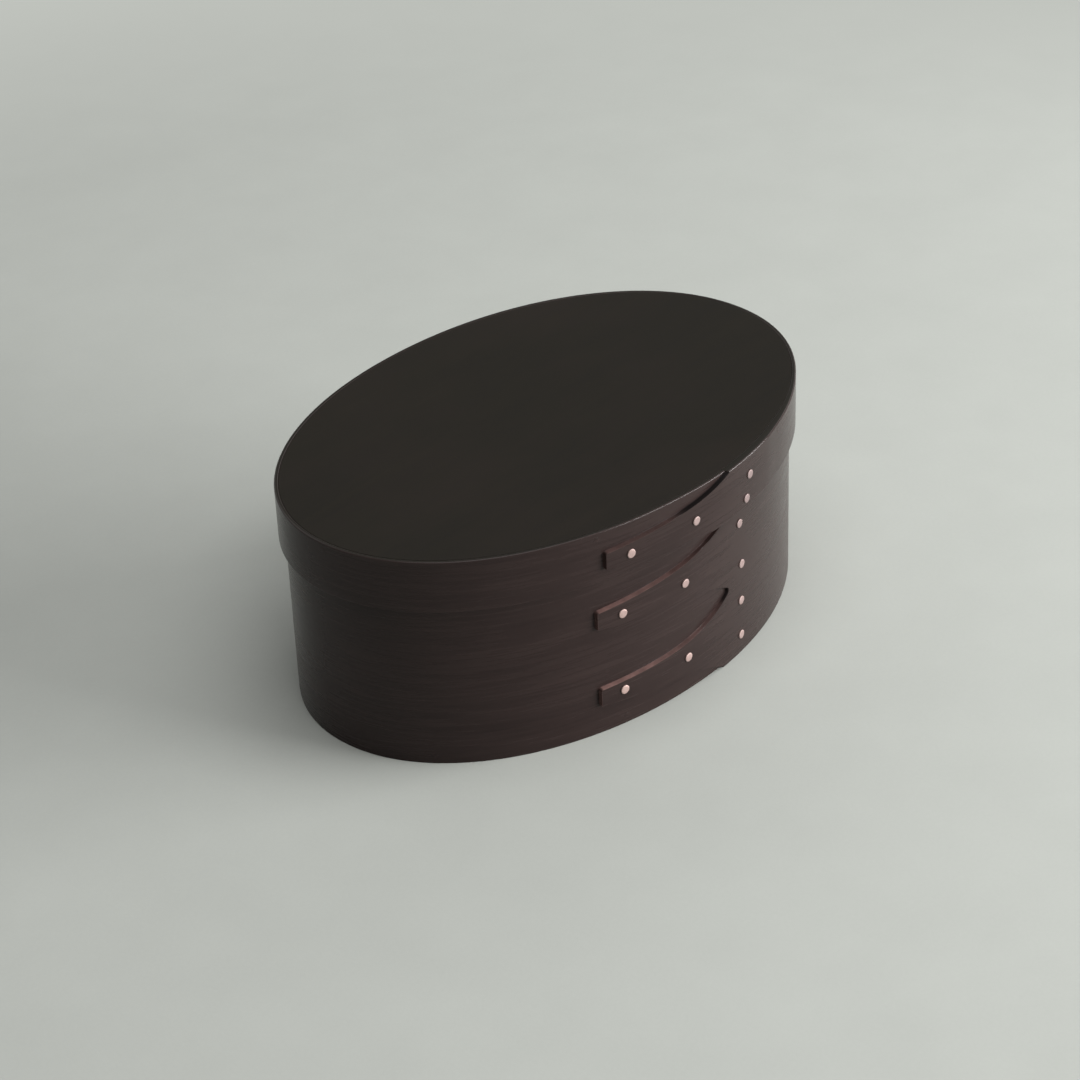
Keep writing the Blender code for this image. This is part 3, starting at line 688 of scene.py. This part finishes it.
class NodeTree:
    """A material's or world's nodes, added by type with their inputs set or linked."""

    def __init__(self, tree):
        self.tree = tree
        tree.nodes.clear()

    def add(self, kind, inputs=(), **settings):
        """A node with its settings; inputs are (socket, value or output) pairs."""
        node = self.tree.nodes.new(kind)
        for key, value in settings.items():
            setattr(node, key, value)
        for socket, value in dict(inputs).items():
            if isinstance(value, bpy.types.NodeSocket):
                self.tree.links.new(value, node.inputs[socket])
            else:
                node.inputs[socket].default_value = value
        return node

    def scaled(self, vector, scale):
        """A vector multiplied by a scale for each axis."""
        return self.add("ShaderNodeVectorMath", {0: vector, 1: scale}, operation="MULTIPLY").outputs[0]

    def place(self):
        """The piece's own coordinates."""
        return self.add("ShaderNodeTexCoord").outputs["Object"]

    def fact(self, key):
        """What the mesh holds at each point under this name."""
        return self.add("ShaderNodeAttribute", attribute_name=key).outputs["Fac"]

    def noise(self, vector, scale, detail, roughness, distortion=0.0):
        """Fractal noise of a vector scaled along each axis."""
        return self.add("ShaderNodeTexNoise", {
            "Vector": self.scaled(vector, scale), "Scale": 1.0, "Detail": detail,
            "Roughness": roughness, "Distortion": distortion,
        }).outputs["Fac"]

    def ramp(self, value, low, high, to_low=0.0, to_high=1.0):
        """A value mapped from one range to another and held to it."""
        return self.add("ShaderNodeMapRange", {
            "Value": value, "From Min": low, "From Max": high, "To Min": to_low, "To Max": to_high,
        }).outputs["Result"]

    def math(self, operation, first, second):
        """One step of arithmetic on two values."""
        return self.add("ShaderNodeMath", {0: first, 1: second}, operation=operation).outputs[0]

    def weighted(self, *terms):
        """The sum of values, each multiplied by its weight."""
        products = [self.math("MULTIPLY", *term) for term in terms]
        total = products[0]
        for product in products[1:]:
            total = self.math("ADD", total, product)
        return total

    def mix(self, share, first, second):
        """Two colours mixed by a share."""
        return self.add("ShaderNodeMix", {0: share, 6: first, 7: second}, data_type="RGBA").outputs[2]

    def tint(self, base, share, weight, tone):
        """A colour mixed towards a tone by a share times a weight."""
        return self.mix(self.math("MULTIPLY", share, weight), base, tone)

    def bump(self, height, distance, strength, normal=None):
        """A bump from a height that stands for a real distance in metres."""
        inputs = {"Height": height, "Distance": distance, "Strength": strength}
        if normal is not None:
            inputs["Normal"] = normal
        return self.add("ShaderNodeBump", inputs).outputs["Normal"]

    def background_rays(self):
        """1 for the rays that show the background: the camera's, and those that a piece mirrors or lets
        through. 0 for those that carry light to the pieces."""
        rays = self.add("ShaderNodeLightPath").outputs
        seen = self.math("MAXIMUM", rays["Is Camera Ray"], rays["Is Glossy Ray"])
        return self.math("MAXIMUM", seen, rays["Is Transmission Ray"])

    def finish(self, shader):
        """Link a shader to the material's output."""
        output = self.add("ShaderNodeOutputMaterial")
        self.tree.links.new(shader.outputs[0], output.inputs["Surface"])


def new_material(name):
    """A fresh node material with this name, and its node tree."""
    material = bpy.data.materials.get(name) or bpy.data.materials.new(name)
    material.use_nodes = True
    return material, NodeTree(material.node_tree)


def colour(values):
    """A colour property as four linear values."""
    return (*values[:3], 1.0)


def stained_wood(nodes, base, roughness, normal, gloss):
    """The surface of every stained piece, from its colour, roughness, bump and gloss."""
    nodes.finish(nodes.add("ShaderNodeBsdfPrincipled", {
        "Base Color": base, "Roughness": roughness, "Normal": normal, "IOR": WOOD_IOR,
        "Specular IOR Level": gloss,
    }))


def band_wood(finish):
    """Stained strip wood: long fine grain and short pores that follow the strip, a soft unevenness of
    the stain, and the edges and bevels rubbed through to a reddish brown, which at the tips and near the
    lid finger's tip also paints light and a glint. Painted shade darkens the lap's crevices, roots and
    tips. The strip's level upper edge takes the stain as darkly and as matt as the boards."""
    material, nodes = new_material("stained_band")
    strip = nodes.add("ShaderNodeAttribute", attribute_name="strip").outputs["Vector"]
    place = nodes.place()
    wear_and_painted_light, painted_shade, polish, level = (nodes.fact(key) for key in ("wear_and_painted_light", "painted_shade", "polish", "level"))
    grain = nodes.noise(strip, (3.2, 3.2, 0.9), 6.0, 0.62, 0.25)
    streaks = nodes.noise(strip, (1.3, 1.3, 0.16), 3.0, 0.5, 0.4)
    pores = nodes.ramp(nodes.noise(strip, (26.0, 26.0, 5.0), 2.0, 0.5), 0.60, 0.72)
    clouds = nodes.noise(place, (24.0, 24.0, 30.0), 3.0, 0.5)
    patchy = nodes.ramp(nodes.noise(place, (300.0, 300.0, 500.0), 4.0, 0.6), 0.30, 0.62, 0.55, 1.0)
    share = nodes.ramp(nodes.weighted((grain, 0.55), (streaks, 0.35), (clouds, 0.30)), 0.36, 0.86)
    base = nodes.mix(share, colour(finish.band_dark), colour(finish.band_light))
    base = nodes.tint(base, pores, 0.08, colour(finish.band_dark))
    base = nodes.mix(level, base, nodes.mix(share, colour(finish.board_dark), colour(finish.board_light)))
    # Rubbed colour: wear, and painted light at the tips and a painted glint near the lid finger's tip
    base = nodes.tint(base, wear_and_painted_light, patchy, colour(finish.worn_edge))
    # Painted shade: near black where the mesh marks it
    base = nodes.tint(base, painted_shade, 0.92, PAINTED_SHADE_COLOUR)
    roughness = nodes.ramp(nodes.math("ADD", grain, clouds), 0.75, 1.25,
                           finish.band_roughness - 0.05, finish.band_roughness + 0.06)
    roughness = nodes.weighted((roughness, 1.0), (painted_shade, 0.25), (polish, -0.10), (level, 0.36))
    normal = nodes.bump(pores, -0.02 * MM, 0.15, nodes.bump(grain, 0.02 * MM, 0.2))
    gloss = nodes.ramp(nodes.math("MAXIMUM", painted_shade, level), 0.0, 1.0,
                       finish.band_gloss, 0.35 * finish.band_gloss)
    stained_wood(nodes, base, roughness, normal, gloss)
    return material


def board_wood(finish):
    """Stained board wood, more matt: straight grain along the board with slow arches, and faint brown
    patches where the stain lies thinner."""
    material, nodes = new_material("stained_board")
    place = nodes.place()
    arches = nodes.noise(place, (14.0, 90.0, 90.0), 3.0, 0.5, 1.2)
    grain = nodes.noise(place, (45.0, 1300.0, 1300.0), 6.0, 0.6, 0.15)
    pores = nodes.ramp(nodes.noise(place, (420.0, 5200.0, 5200.0), 2.0, 0.5), 0.60, 0.72)
    patches = nodes.ramp(nodes.noise(place, (16.0, 26.0, 26.0), 3.0, 0.55), 0.42, 0.66)
    share = nodes.ramp(nodes.weighted((grain, 0.5), (arches, 0.5)), 0.36, 0.66)
    base = nodes.mix(share, colour(finish.board_dark), colour(finish.board_light))
    base = nodes.tint(base, patches, 0.12, colour(finish.band_light))
    base = nodes.tint(base, pores, 0.3, colour(finish.board_dark))
    roughness = nodes.ramp(nodes.math("ADD", grain, arches), 0.75, 1.25,
                           finish.board_roughness - 0.05, finish.board_roughness + 0.05)
    normal = nodes.bump(pores, -0.02 * MM, 0.6, nodes.bump(grain, 0.03 * MM, 0.5))
    stained_wood(nodes, base, roughness, normal, finish.board_gloss)
    return material


def peg_wood(finish):
    """Peg ends: end grain of the same stain, with fine specks and the faint rings of a small dowel."""
    material, nodes = new_material("stained_peg")
    place = nodes.place()
    specks = nodes.noise(place, (2600.0, 2600.0, 2600.0), 3.0, 0.6)
    rings = nodes.noise(place, (700.0, 700.0, 2400.0), 2.0, 0.5, 0.5)
    share = nodes.ramp(nodes.math("ADD", specks, rings), 0.75, 1.25)
    base = nodes.mix(share, colour(finish.band_dark), colour(finish.band_light))
    stained_wood(nodes, base, finish.band_roughness, nodes.bump(specks, 0.03 * MM, 0.6), finish.band_gloss)
    return material


def copper(finish):
    """Pale dull copper: each head's own random tone, and painted shade that deepens the heads to the right
    and higher up on the lap, where the lamps light them most squarely; fine hammering and scratches,
    darker where it has tarnished."""
    material, nodes = new_material("copper")
    place = nodes.place()
    along = nodes.add("ShaderNodeSeparateXYZ", {0: place}).outputs
    # Painted shade on the heads: deeper to the right and higher up, evening out the lamps' light
    climb = nodes.math("ADD", along["X"], nodes.math("MULTIPLY", along["Z"], 0.75))
    shade = nodes.math("MULTIPLY", nodes.noise(place, (110.0, 110.0, 110.0), 1.0, 0.5), 0.2)
    shade = nodes.math("ADD", shade, nodes.ramp(climb, -19 * MM, 59 * MM, 0.0, 0.8))
    tarnish = nodes.ramp(nodes.noise(place, (900.0, 900.0, 900.0), 4.0, 0.6), 0.52, 0.80)
    scratches = nodes.noise(place, (1500.0, 6000.0, 9000.0), 3.0, 0.6)
    base = nodes.mix(shade, colour(finish.copper_light), colour(finish.copper_dark))
    base = nodes.tint(base, tarnish, 0.35, TARNISH)
    roughness = nodes.ramp(scratches, 0.3, 0.7, 0.58, 0.70)
    normal = nodes.bump(nodes.noise(place, (700.0, 700.0, 700.0), 2.0, 0.5), 0.05 * MM, 0.5)
    normal = nodes.bump(scratches, 0.01 * MM, 0.4, normal)
    nodes.finish(nodes.add("ShaderNodeBsdfPrincipled", {
        "Base Color": base, "Roughness": roughness, "Normal": normal, "Metallic": 1.0,
    }))
    return material


def floor_paper(stage):
    """Pale grey-green paper of the floor: a faint mottle and a fine tooth. Away from the box it fades,
    for the rays that show the background, to its plain colour, whatever lamp stands over it."""
    material, nodes = new_material("floor_paper")
    place = nodes.place()
    mottle = nodes.noise(place, (35.0, 35.0, 35.0), 5.0, 0.6)
    tooth = nodes.noise(place, (900.0, 900.0, 900.0), 3.0, 0.6)
    pale = colour(stage.floor_colour)
    deeper = tuple(0.955 * value for value in pale[:3]) + (1.0,)
    base = nodes.mix(nodes.ramp(nodes.math("ADD", mottle, nodes.math("MULTIPLY", tooth, 0.6)), 0.55, 1.05),
                     deeper, pale)
    normal = nodes.bump(tooth, 0.05 * MM, 0.25)
    paper = nodes.add("ShaderNodeBsdfPrincipled", {
        "Base Color": base, "Roughness": 0.85, "Normal": normal, "Specular IOR Level": 0.2,
    })
    plain = nodes.add("ShaderNodeEmission", {"Color": pale, "Strength": 1.0})
    away = nodes.add("ShaderNodeVectorMath", {0: place}, operation="LENGTH").outputs["Value"]
    share = nodes.math("MULTIPLY", nodes.ramp(away, NEAR_FLOOR, FAR_FLOOR), nodes.background_rays())
    nodes.finish(nodes.add("ShaderNodeMixShader", {0: share, 1: paper.outputs[0], 2: plain.outputs[0]}))
    return material


def linear(code):
    """Linear light of a colour written as three sRGB values from 0 to 255."""
    values = np.array(code) / 255
    return tuple(float(v) for v in np.where(values <= 0.04045, values / 12.92,
                                            ((values + 0.055) / 1.055) ** 2.4))


def length_property(name, description, default, low, high):
    """A length setting, its numbers given in millimetres."""
    return FloatProperty(name=name, description=description, default=default * MM, min=low * MM,
                         max=high * MM, unit="LENGTH", precision=5)


def share_property(name, description, default, low):
    """A setting that runs up to 1."""
    return FloatProperty(name=name, description=description, default=default, min=low, max=1.0,
                         subtype="FACTOR")


class BoxShape(bpy.types.PropertyGroup):
    """Sizes of the finished edges, tacks and seams."""

    bevel_width: length_property(
        "Finger bevel", "Width of the bevel along a finger's long edges", 0.26, 0.1, 1.2)
    tip_bevel: length_property("Tip bevel", "Width of the bevel across a finger's tip", 0.16, 0.05, 1.2)
    corner_radius: length_property("Tip corners", "Radius of the corners at a finger's tip", 0.45, 0.1, 2.0)
    throat_radius: length_property(
        "Throat radius", "Radius of the rounded end between two fingers", 1.25, 0.6, 2.0)
    rim_radius: length_property(
        "Upper rims", "Radius of the rounded upper outer edges of the bands", 0.42, 0.05, 0.6)
    low_rim_radius: length_property(
        "Lower rims", "Radius of the rounded lower outer edges of the bands", 0.18, 0.05, 0.6)
    board_seam: length_property("Board seam", "Gap between a board and the band round it", 0.03, 0.0, 0.3)
    tack_diameter: length_property("Tack head", "Diameter of the copper tacks' heads", 2.6, 1.5, 4.0)
    tack_height: length_property(
        "Tack height", "How far a tack's head stands out from the wood", 0.38, 0.1, 0.8)


def colour_property(name, description, code):
    """A colour setting whose default is an sRGB code."""
    return FloatVectorProperty(name=name, description=description, subtype="COLOR", size=3,
                               min=0.0, max=1.0, default=linear(code))


class BoxFinish(bpy.types.PropertyGroup):
    """Colours and gloss of the wood and copper."""

    band_dark: colour_property("Band, dark", "Darker colour of the bands' stained grain", (36, 26, 25))
    band_light: colour_property("Band, light", "Lighter colour of the bands' stained grain", (55, 43, 41))
    board_dark: colour_property("Board, dark", "Darker colour of the boards' stained grain", (26, 23, 19))
    board_light: colour_property("Board, light", "Lighter colour of the boards' grain", (35, 32, 27))
    worn_edge: colour_property("Worn edge", "Colour of the wood where edges are rubbed", (150, 116, 110))
    # Ends of the tacks' colour: the light one at the left and low, the dark one where painted shade deepens
    # them to the right and higher up
    copper_dark: colour_property("Copper, dark", "Colour of the darker tacks", (142, 127, 126))
    copper_light: colour_property("Copper, light", "Colour of the paler tacks", (197, 172, 166))
    band_roughness: share_property("Band roughness", "Roughness of the bands' polish", 0.26, 0.1)
    band_gloss: share_property("Band gloss", "Strength of the bands' mirror light", 0.22, 0.0)
    board_roughness: share_property("Board roughness", "Roughness of the boards", 0.74, 0.1)
    board_gloss: share_property("Board gloss", "Strength of the boards' mirror light", 0.095, 0.0)


class BoxStage(bpy.types.PropertyGroup):
    """Floor, lights and camera."""

    floor_colour: colour_property("Floor", "Colour of the floor", (192, 195, 189))
    lamp_power: FloatProperty(name="Lamps", description="Power of all the lamps together",
                              default=51.0, min=0.0, max=1000.0, unit="POWER")
    room_strength: FloatProperty(name="Room light", description="Strength of the even light all round",
                                 default=0.03, min=0.0, max=2.0)
    azimuth: FloatProperty(name="Azimuth", description="Direction of the camera round the box",
                           default=math.radians(-46.510), subtype="ANGLE", unit="ROTATION")
    elevation: FloatProperty(name="Elevation", description="Angle of the camera above the floor",
                             default=math.radians(31.706), subtype="ANGLE", unit="ROTATION")
    roll: FloatProperty(name="Roll", description="Turn of the camera about its own line of sight",
                        default=math.radians(-2.458), subtype="ANGLE", unit="ROTATION")


def give(item, material):
    """Give a piece its material."""
    item.data.materials.clear()
    item.data.materials.append(material)


def take_over(item, node, body):
    """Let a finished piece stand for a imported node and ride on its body."""
    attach(item, body)
    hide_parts(node)


def make_band(context, band):
    """Build one band, with its finish."""
    settings = context.scene
    item = band_surface(band, settings.oval_box_shape)
    give(item, band_wood(settings.oval_box_finish))
    take_over(item, band.name, band.body)


class OVALBOX_OT_base_band(bpy.types.Operator):
    """Build the base's bent band with its two fingers"""
    bl_idname = "ovalbox.base_band"
    bl_label = "Base Band"

    def execute(self, context):
        make_band(context, BASE_BAND)
        return {"FINISHED"}


class OVALBOX_OT_lid_band(bpy.types.Operator):
    """Build the lid's bent band with its finger"""
    bl_idname = "ovalbox.lid_band"
    bl_label = "Lid Band"

    def execute(self, context):
        make_band(context, LID_BAND)
        return {"FINISHED"}


class OVALBOX_OT_boards(bpy.types.Operator):
    """Build the oval boards of the base and the lid"""
    bl_idname = "ovalbox.boards"
    bl_label = "Boards"

    def execute(self, context):
        shape, finish = context.scene.oval_box_shape, context.scene.oval_box_finish
        for band, node, bottom, top in (
                (BASE_BAND, "base_board", 0.0, SIZES["base_board_top"]),
                (LID_BAND, "lid_board", SIZES["lid_board_bottom"], SIZES["total_height"])):
            item = board_surface(f"finished_{node}", lambda s: band.faces(s)[0] - shape.board_seam,
                                 bottom, top)
            give(item, board_wood(finish))
            take_over(item, node, band.body)
        return {"FINISHED"}


def node_place(node):
    """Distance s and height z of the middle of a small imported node."""
    low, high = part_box(node)
    middle = (low + high) / 2
    return OVAL.nearest(middle.x, middle.y), middle.z


def small_pieces(kind, shape):
    """Number, node, band, place s and z, and the band's inner face and outer face there, as t, for each
    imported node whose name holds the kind, in order of their names."""
    for number, node in enumerate(sorted(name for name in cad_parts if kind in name)):
        band = LID_BAND if node.startswith("lid") else BASE_BAND
        s, z = node_place(node)
        yield number, node, band, s, z, float(band.faces(np.array(s))[0]), outer_face_at(band, s, z, shape)


def tack_profile(shape, face, inside):
    """Radius and height points of a tack from its clinch inside to its head outside: a flattened clinch,
    the shank, and a low head with a rolled rim and a nearly flat crown."""
    head, top = shape.tack_diameter / 2, face + shape.tack_height
    clinch, shank = CLINCH_RADIUS, SHANK_RADIUS
    seat = face - 0.03 * MM
    return [
        (0.45 * clinch, inside - 0.05 * MM), (0.82 * clinch, inside - 0.03 * MM),
        (clinch, inside + 0.06 * MM), (clinch, inside + 0.14 * MM), (shank, inside + 0.22 * MM),
        (shank, seat), (0.97 * head, seat), (head, seat + 0.10 * MM),
        (head, top - 0.16 * MM), (0.985 * head, top - 0.09 * MM), (0.94 * head, top - 0.045 * MM),
        (0.84 * head, top - 0.02 * MM), (0.66 * head, top - 0.008 * MM), (0.45 * head, top - 0.002 * MM),
        (0.20 * head, top),
    ]


class OVALBOX_OT_tacks(bpy.types.Operator):
    """Build the copper tacks of all three fingers"""
    bl_idname = "ovalbox.tacks"
    bl_label = "Copper Tacks"

    def execute(self, context):
        shape, finish = context.scene.oval_box_shape, context.scene.oval_box_finish
        material = copper(finish)
        for number, node, band, s, z, inside, outside in small_pieces("tack", shape):
            profile = tack_profile(shape, outside - SURFACE_RELIEF, inside)
            item = turned_surface(f"finished_{node}", s, z, profile, TACK_COLUMNS, TACK_WOBBLE, number)
            give(item, material)
            take_over(item, node, band.body)
        return {"FINISHED"}


class OVALBOX_OT_pegs(bpy.types.Operator):
    """Build the small wooden pegs that hold the boards"""
    bl_idname = "ovalbox.pegs"
    bl_label = "Wooden Pegs"

    def execute(self, context):
        shape, finish = context.scene.oval_box_shape, context.scene.oval_box_finish
        material = peg_wood(finish)
        for number, node, band, s, z, inside, outside in small_pieces("peg", shape):
            far_end = inside - PEG_DEPTH
            profile = [(PEG_RADIUS - 0.3 * MM, far_end), (PEG_RADIUS, far_end + 0.3 * MM),
                       (PEG_RADIUS, outside - 0.02 * MM), (0.94 * PEG_RADIUS, outside - 0.004 * MM),
                       (0.6 * PEG_RADIUS, outside)]
            item = turned_surface(f"finished_{node}", s, z, profile, PEG_COLUMNS, PEG_WOBBLE, number)
            give(item, material)
            take_over(item, node, band.body)
        return {"FINISHED"}


def add_lamp(stage, name, azimuth, elevation, distance, size, share):
    """A large soft lamp with its share of the light, facing the box from a direction and a distance."""
    azimuth, elevation = math.radians(azimuth), math.radians(elevation)
    aim = Vector(LAMP_AIM)
    way = Vector((math.cos(azimuth) * math.cos(elevation), math.sin(azimuth) * math.cos(elevation),
                  math.sin(elevation)))
    data = bpy.data.lights.new(name, "AREA")
    data.shape, data.size, data.size_y = "RECTANGLE", *size
    data.energy = share * stage.lamp_power
    lamp = bpy.data.objects.new(name, data)
    lamp.location = aim + distance * way
    lamp.rotation_euler = (-way).to_track_quat("-Z", "Y").to_euler()
    bpy.context.scene.collection.objects.link(lamp)


def camera_axes(stage):
    """Forward, right and up directions of the camera from its azimuth, elevation and roll."""
    az, el, roll = stage.azimuth, stage.elevation, stage.roll
    forward = Vector((-math.sin(az) * math.cos(el), math.cos(az) * math.cos(el), -math.sin(el)))
    level = Vector((math.cos(az), math.sin(az), 0))
    upright = level.cross(forward)
    right = level * math.cos(roll) + upright * math.sin(roll)
    up = upright * math.cos(roll) - level * math.sin(roll)
    return forward, right, up


def add_camera(stage):
    """The camera, set so that the box's middle falls where the photograph has it."""
    forward, right, up = camera_axes(stage)
    aside, above = ((PHOTO_CENTRE[k] - PHOTO_SIZE / 2) / CAMERA_FOCAL * CAMERA_DEPTH for k in (0, 1))
    middle = Vector((0, 0, SIZES["total_height"] / 2))
    data = bpy.data.cameras.new("photo_camera")
    data.sensor_fit, data.sensor_width = "HORIZONTAL", SENSOR_WIDTH
    data.lens = CAMERA_FOCAL / PHOTO_SIZE * SENSOR_WIDTH
    data.clip_start, data.clip_end = 0.01, 100.0
    camera = bpy.data.objects.new("photo_camera", data)
    turned = Matrix((right, up, -forward)).transposed().to_4x4()
    camera.matrix_world = Matrix.Translation(middle - right * aside + up * above
                                             - forward * CAMERA_DEPTH) @ turned
    bpy.context.scene.collection.objects.link(camera)
    bpy.context.scene.camera = camera


def set_world(stage):
    """Even room light, with the floor's own colour as the background that is seen or mirrored."""
    world = bpy.data.worlds.new("studio")
    world.use_nodes = True
    nodes = NodeTree(world.node_tree)
    room = nodes.add("ShaderNodeBackground", {"Color": ROOM_COLOUR, "Strength": stage.room_strength})
    behind = nodes.add("ShaderNodeBackground", {"Color": colour(stage.floor_colour), "Strength": 1.0})
    mixed = nodes.add("ShaderNodeMixShader", {0: nodes.background_rays(), 1: room.outputs[0],
                                              2: behind.outputs[0]})
    output = nodes.add("ShaderNodeOutputWorld")
    world.node_tree.links.new(mixed.outputs[0], output.inputs["Surface"])
    bpy.context.scene.world = world


class OVALBOX_OT_stage(bpy.types.Operator):
    """Set the floor, the lights, the background and the camera"""
    bl_idname = "ovalbox.stage"
    bl_label = "Stage"

    def execute(self, context):
        stage = context.scene.oval_box_stage
        corners = FLOOR_REACH * np.array([(-1, -1, 0), (1, -1, 0), (1, 1, 0), (-1, 1, 0)])
        data = bpy.data.meshes.new("floor")
        data.from_pydata(corners, [], [(0, 1, 2, 3)])
        floor = bpy.data.objects.new("floor", data)
        context.scene.collection.objects.link(floor)
        give(floor, floor_paper(stage))
        for lamp in LAMPS:
            add_lamp(stage, *lamp)
        set_world(stage)
        add_camera(stage)
        context.scene.view_settings.view_transform = "Standard"
        return {"FINISHED"}


OPERATORS = (OVALBOX_OT_base_band, OVALBOX_OT_lid_band, OVALBOX_OT_boards, OVALBOX_OT_tacks,
             OVALBOX_OT_pegs, OVALBOX_OT_stage)


class OVALBOX_PT_panel(bpy.types.Panel):
    """Settings of the oval box and a button for each group of its pieces"""
    bl_idname = "OVALBOX_PT_panel"
    bl_label = "Oval Box"
    bl_space_type = "VIEW_3D"
    bl_region_type = "UI"
    bl_category = "Oval Box"

    def draw(self, context):
        for title, settings in (("Shape", context.scene.oval_box_shape),
                                ("Finish", context.scene.oval_box_finish),
                                ("Stage", context.scene.oval_box_stage)):
            box = self.layout.box()
            box.label(text=title)
            for key in type(settings).__annotations__:
                box.prop(settings, key)
        for operator in OPERATORS:
            self.layout.operator(operator.bl_idname)


CLASSES = (BoxShape, BoxFinish, BoxStage, *OPERATORS, OVALBOX_PT_panel)


def register():
    for item in CLASSES:
        bpy.utils.register_class(item)
    bpy.types.Scene.oval_box_shape = PointerProperty(type=BoxShape)
    bpy.types.Scene.oval_box_finish = PointerProperty(type=BoxFinish)
    bpy.types.Scene.oval_box_stage = PointerProperty(type=BoxStage)


def unregister():
    for key in ("oval_box_shape", "oval_box_finish", "oval_box_stage"):
        delattr(bpy.types.Scene, key)
    for item in reversed(CLASSES):
        bpy.utils.unregister_class(item)


def main():
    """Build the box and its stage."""
    register()
    bpy.ops.ovalbox.base_band()
    bpy.ops.ovalbox.lid_band()
    bpy.ops.ovalbox.boards()
    bpy.ops.ovalbox.tacks()
    bpy.ops.ovalbox.pegs()
    bpy.ops.ovalbox.stage()


if __name__ == "__main__":
    main()
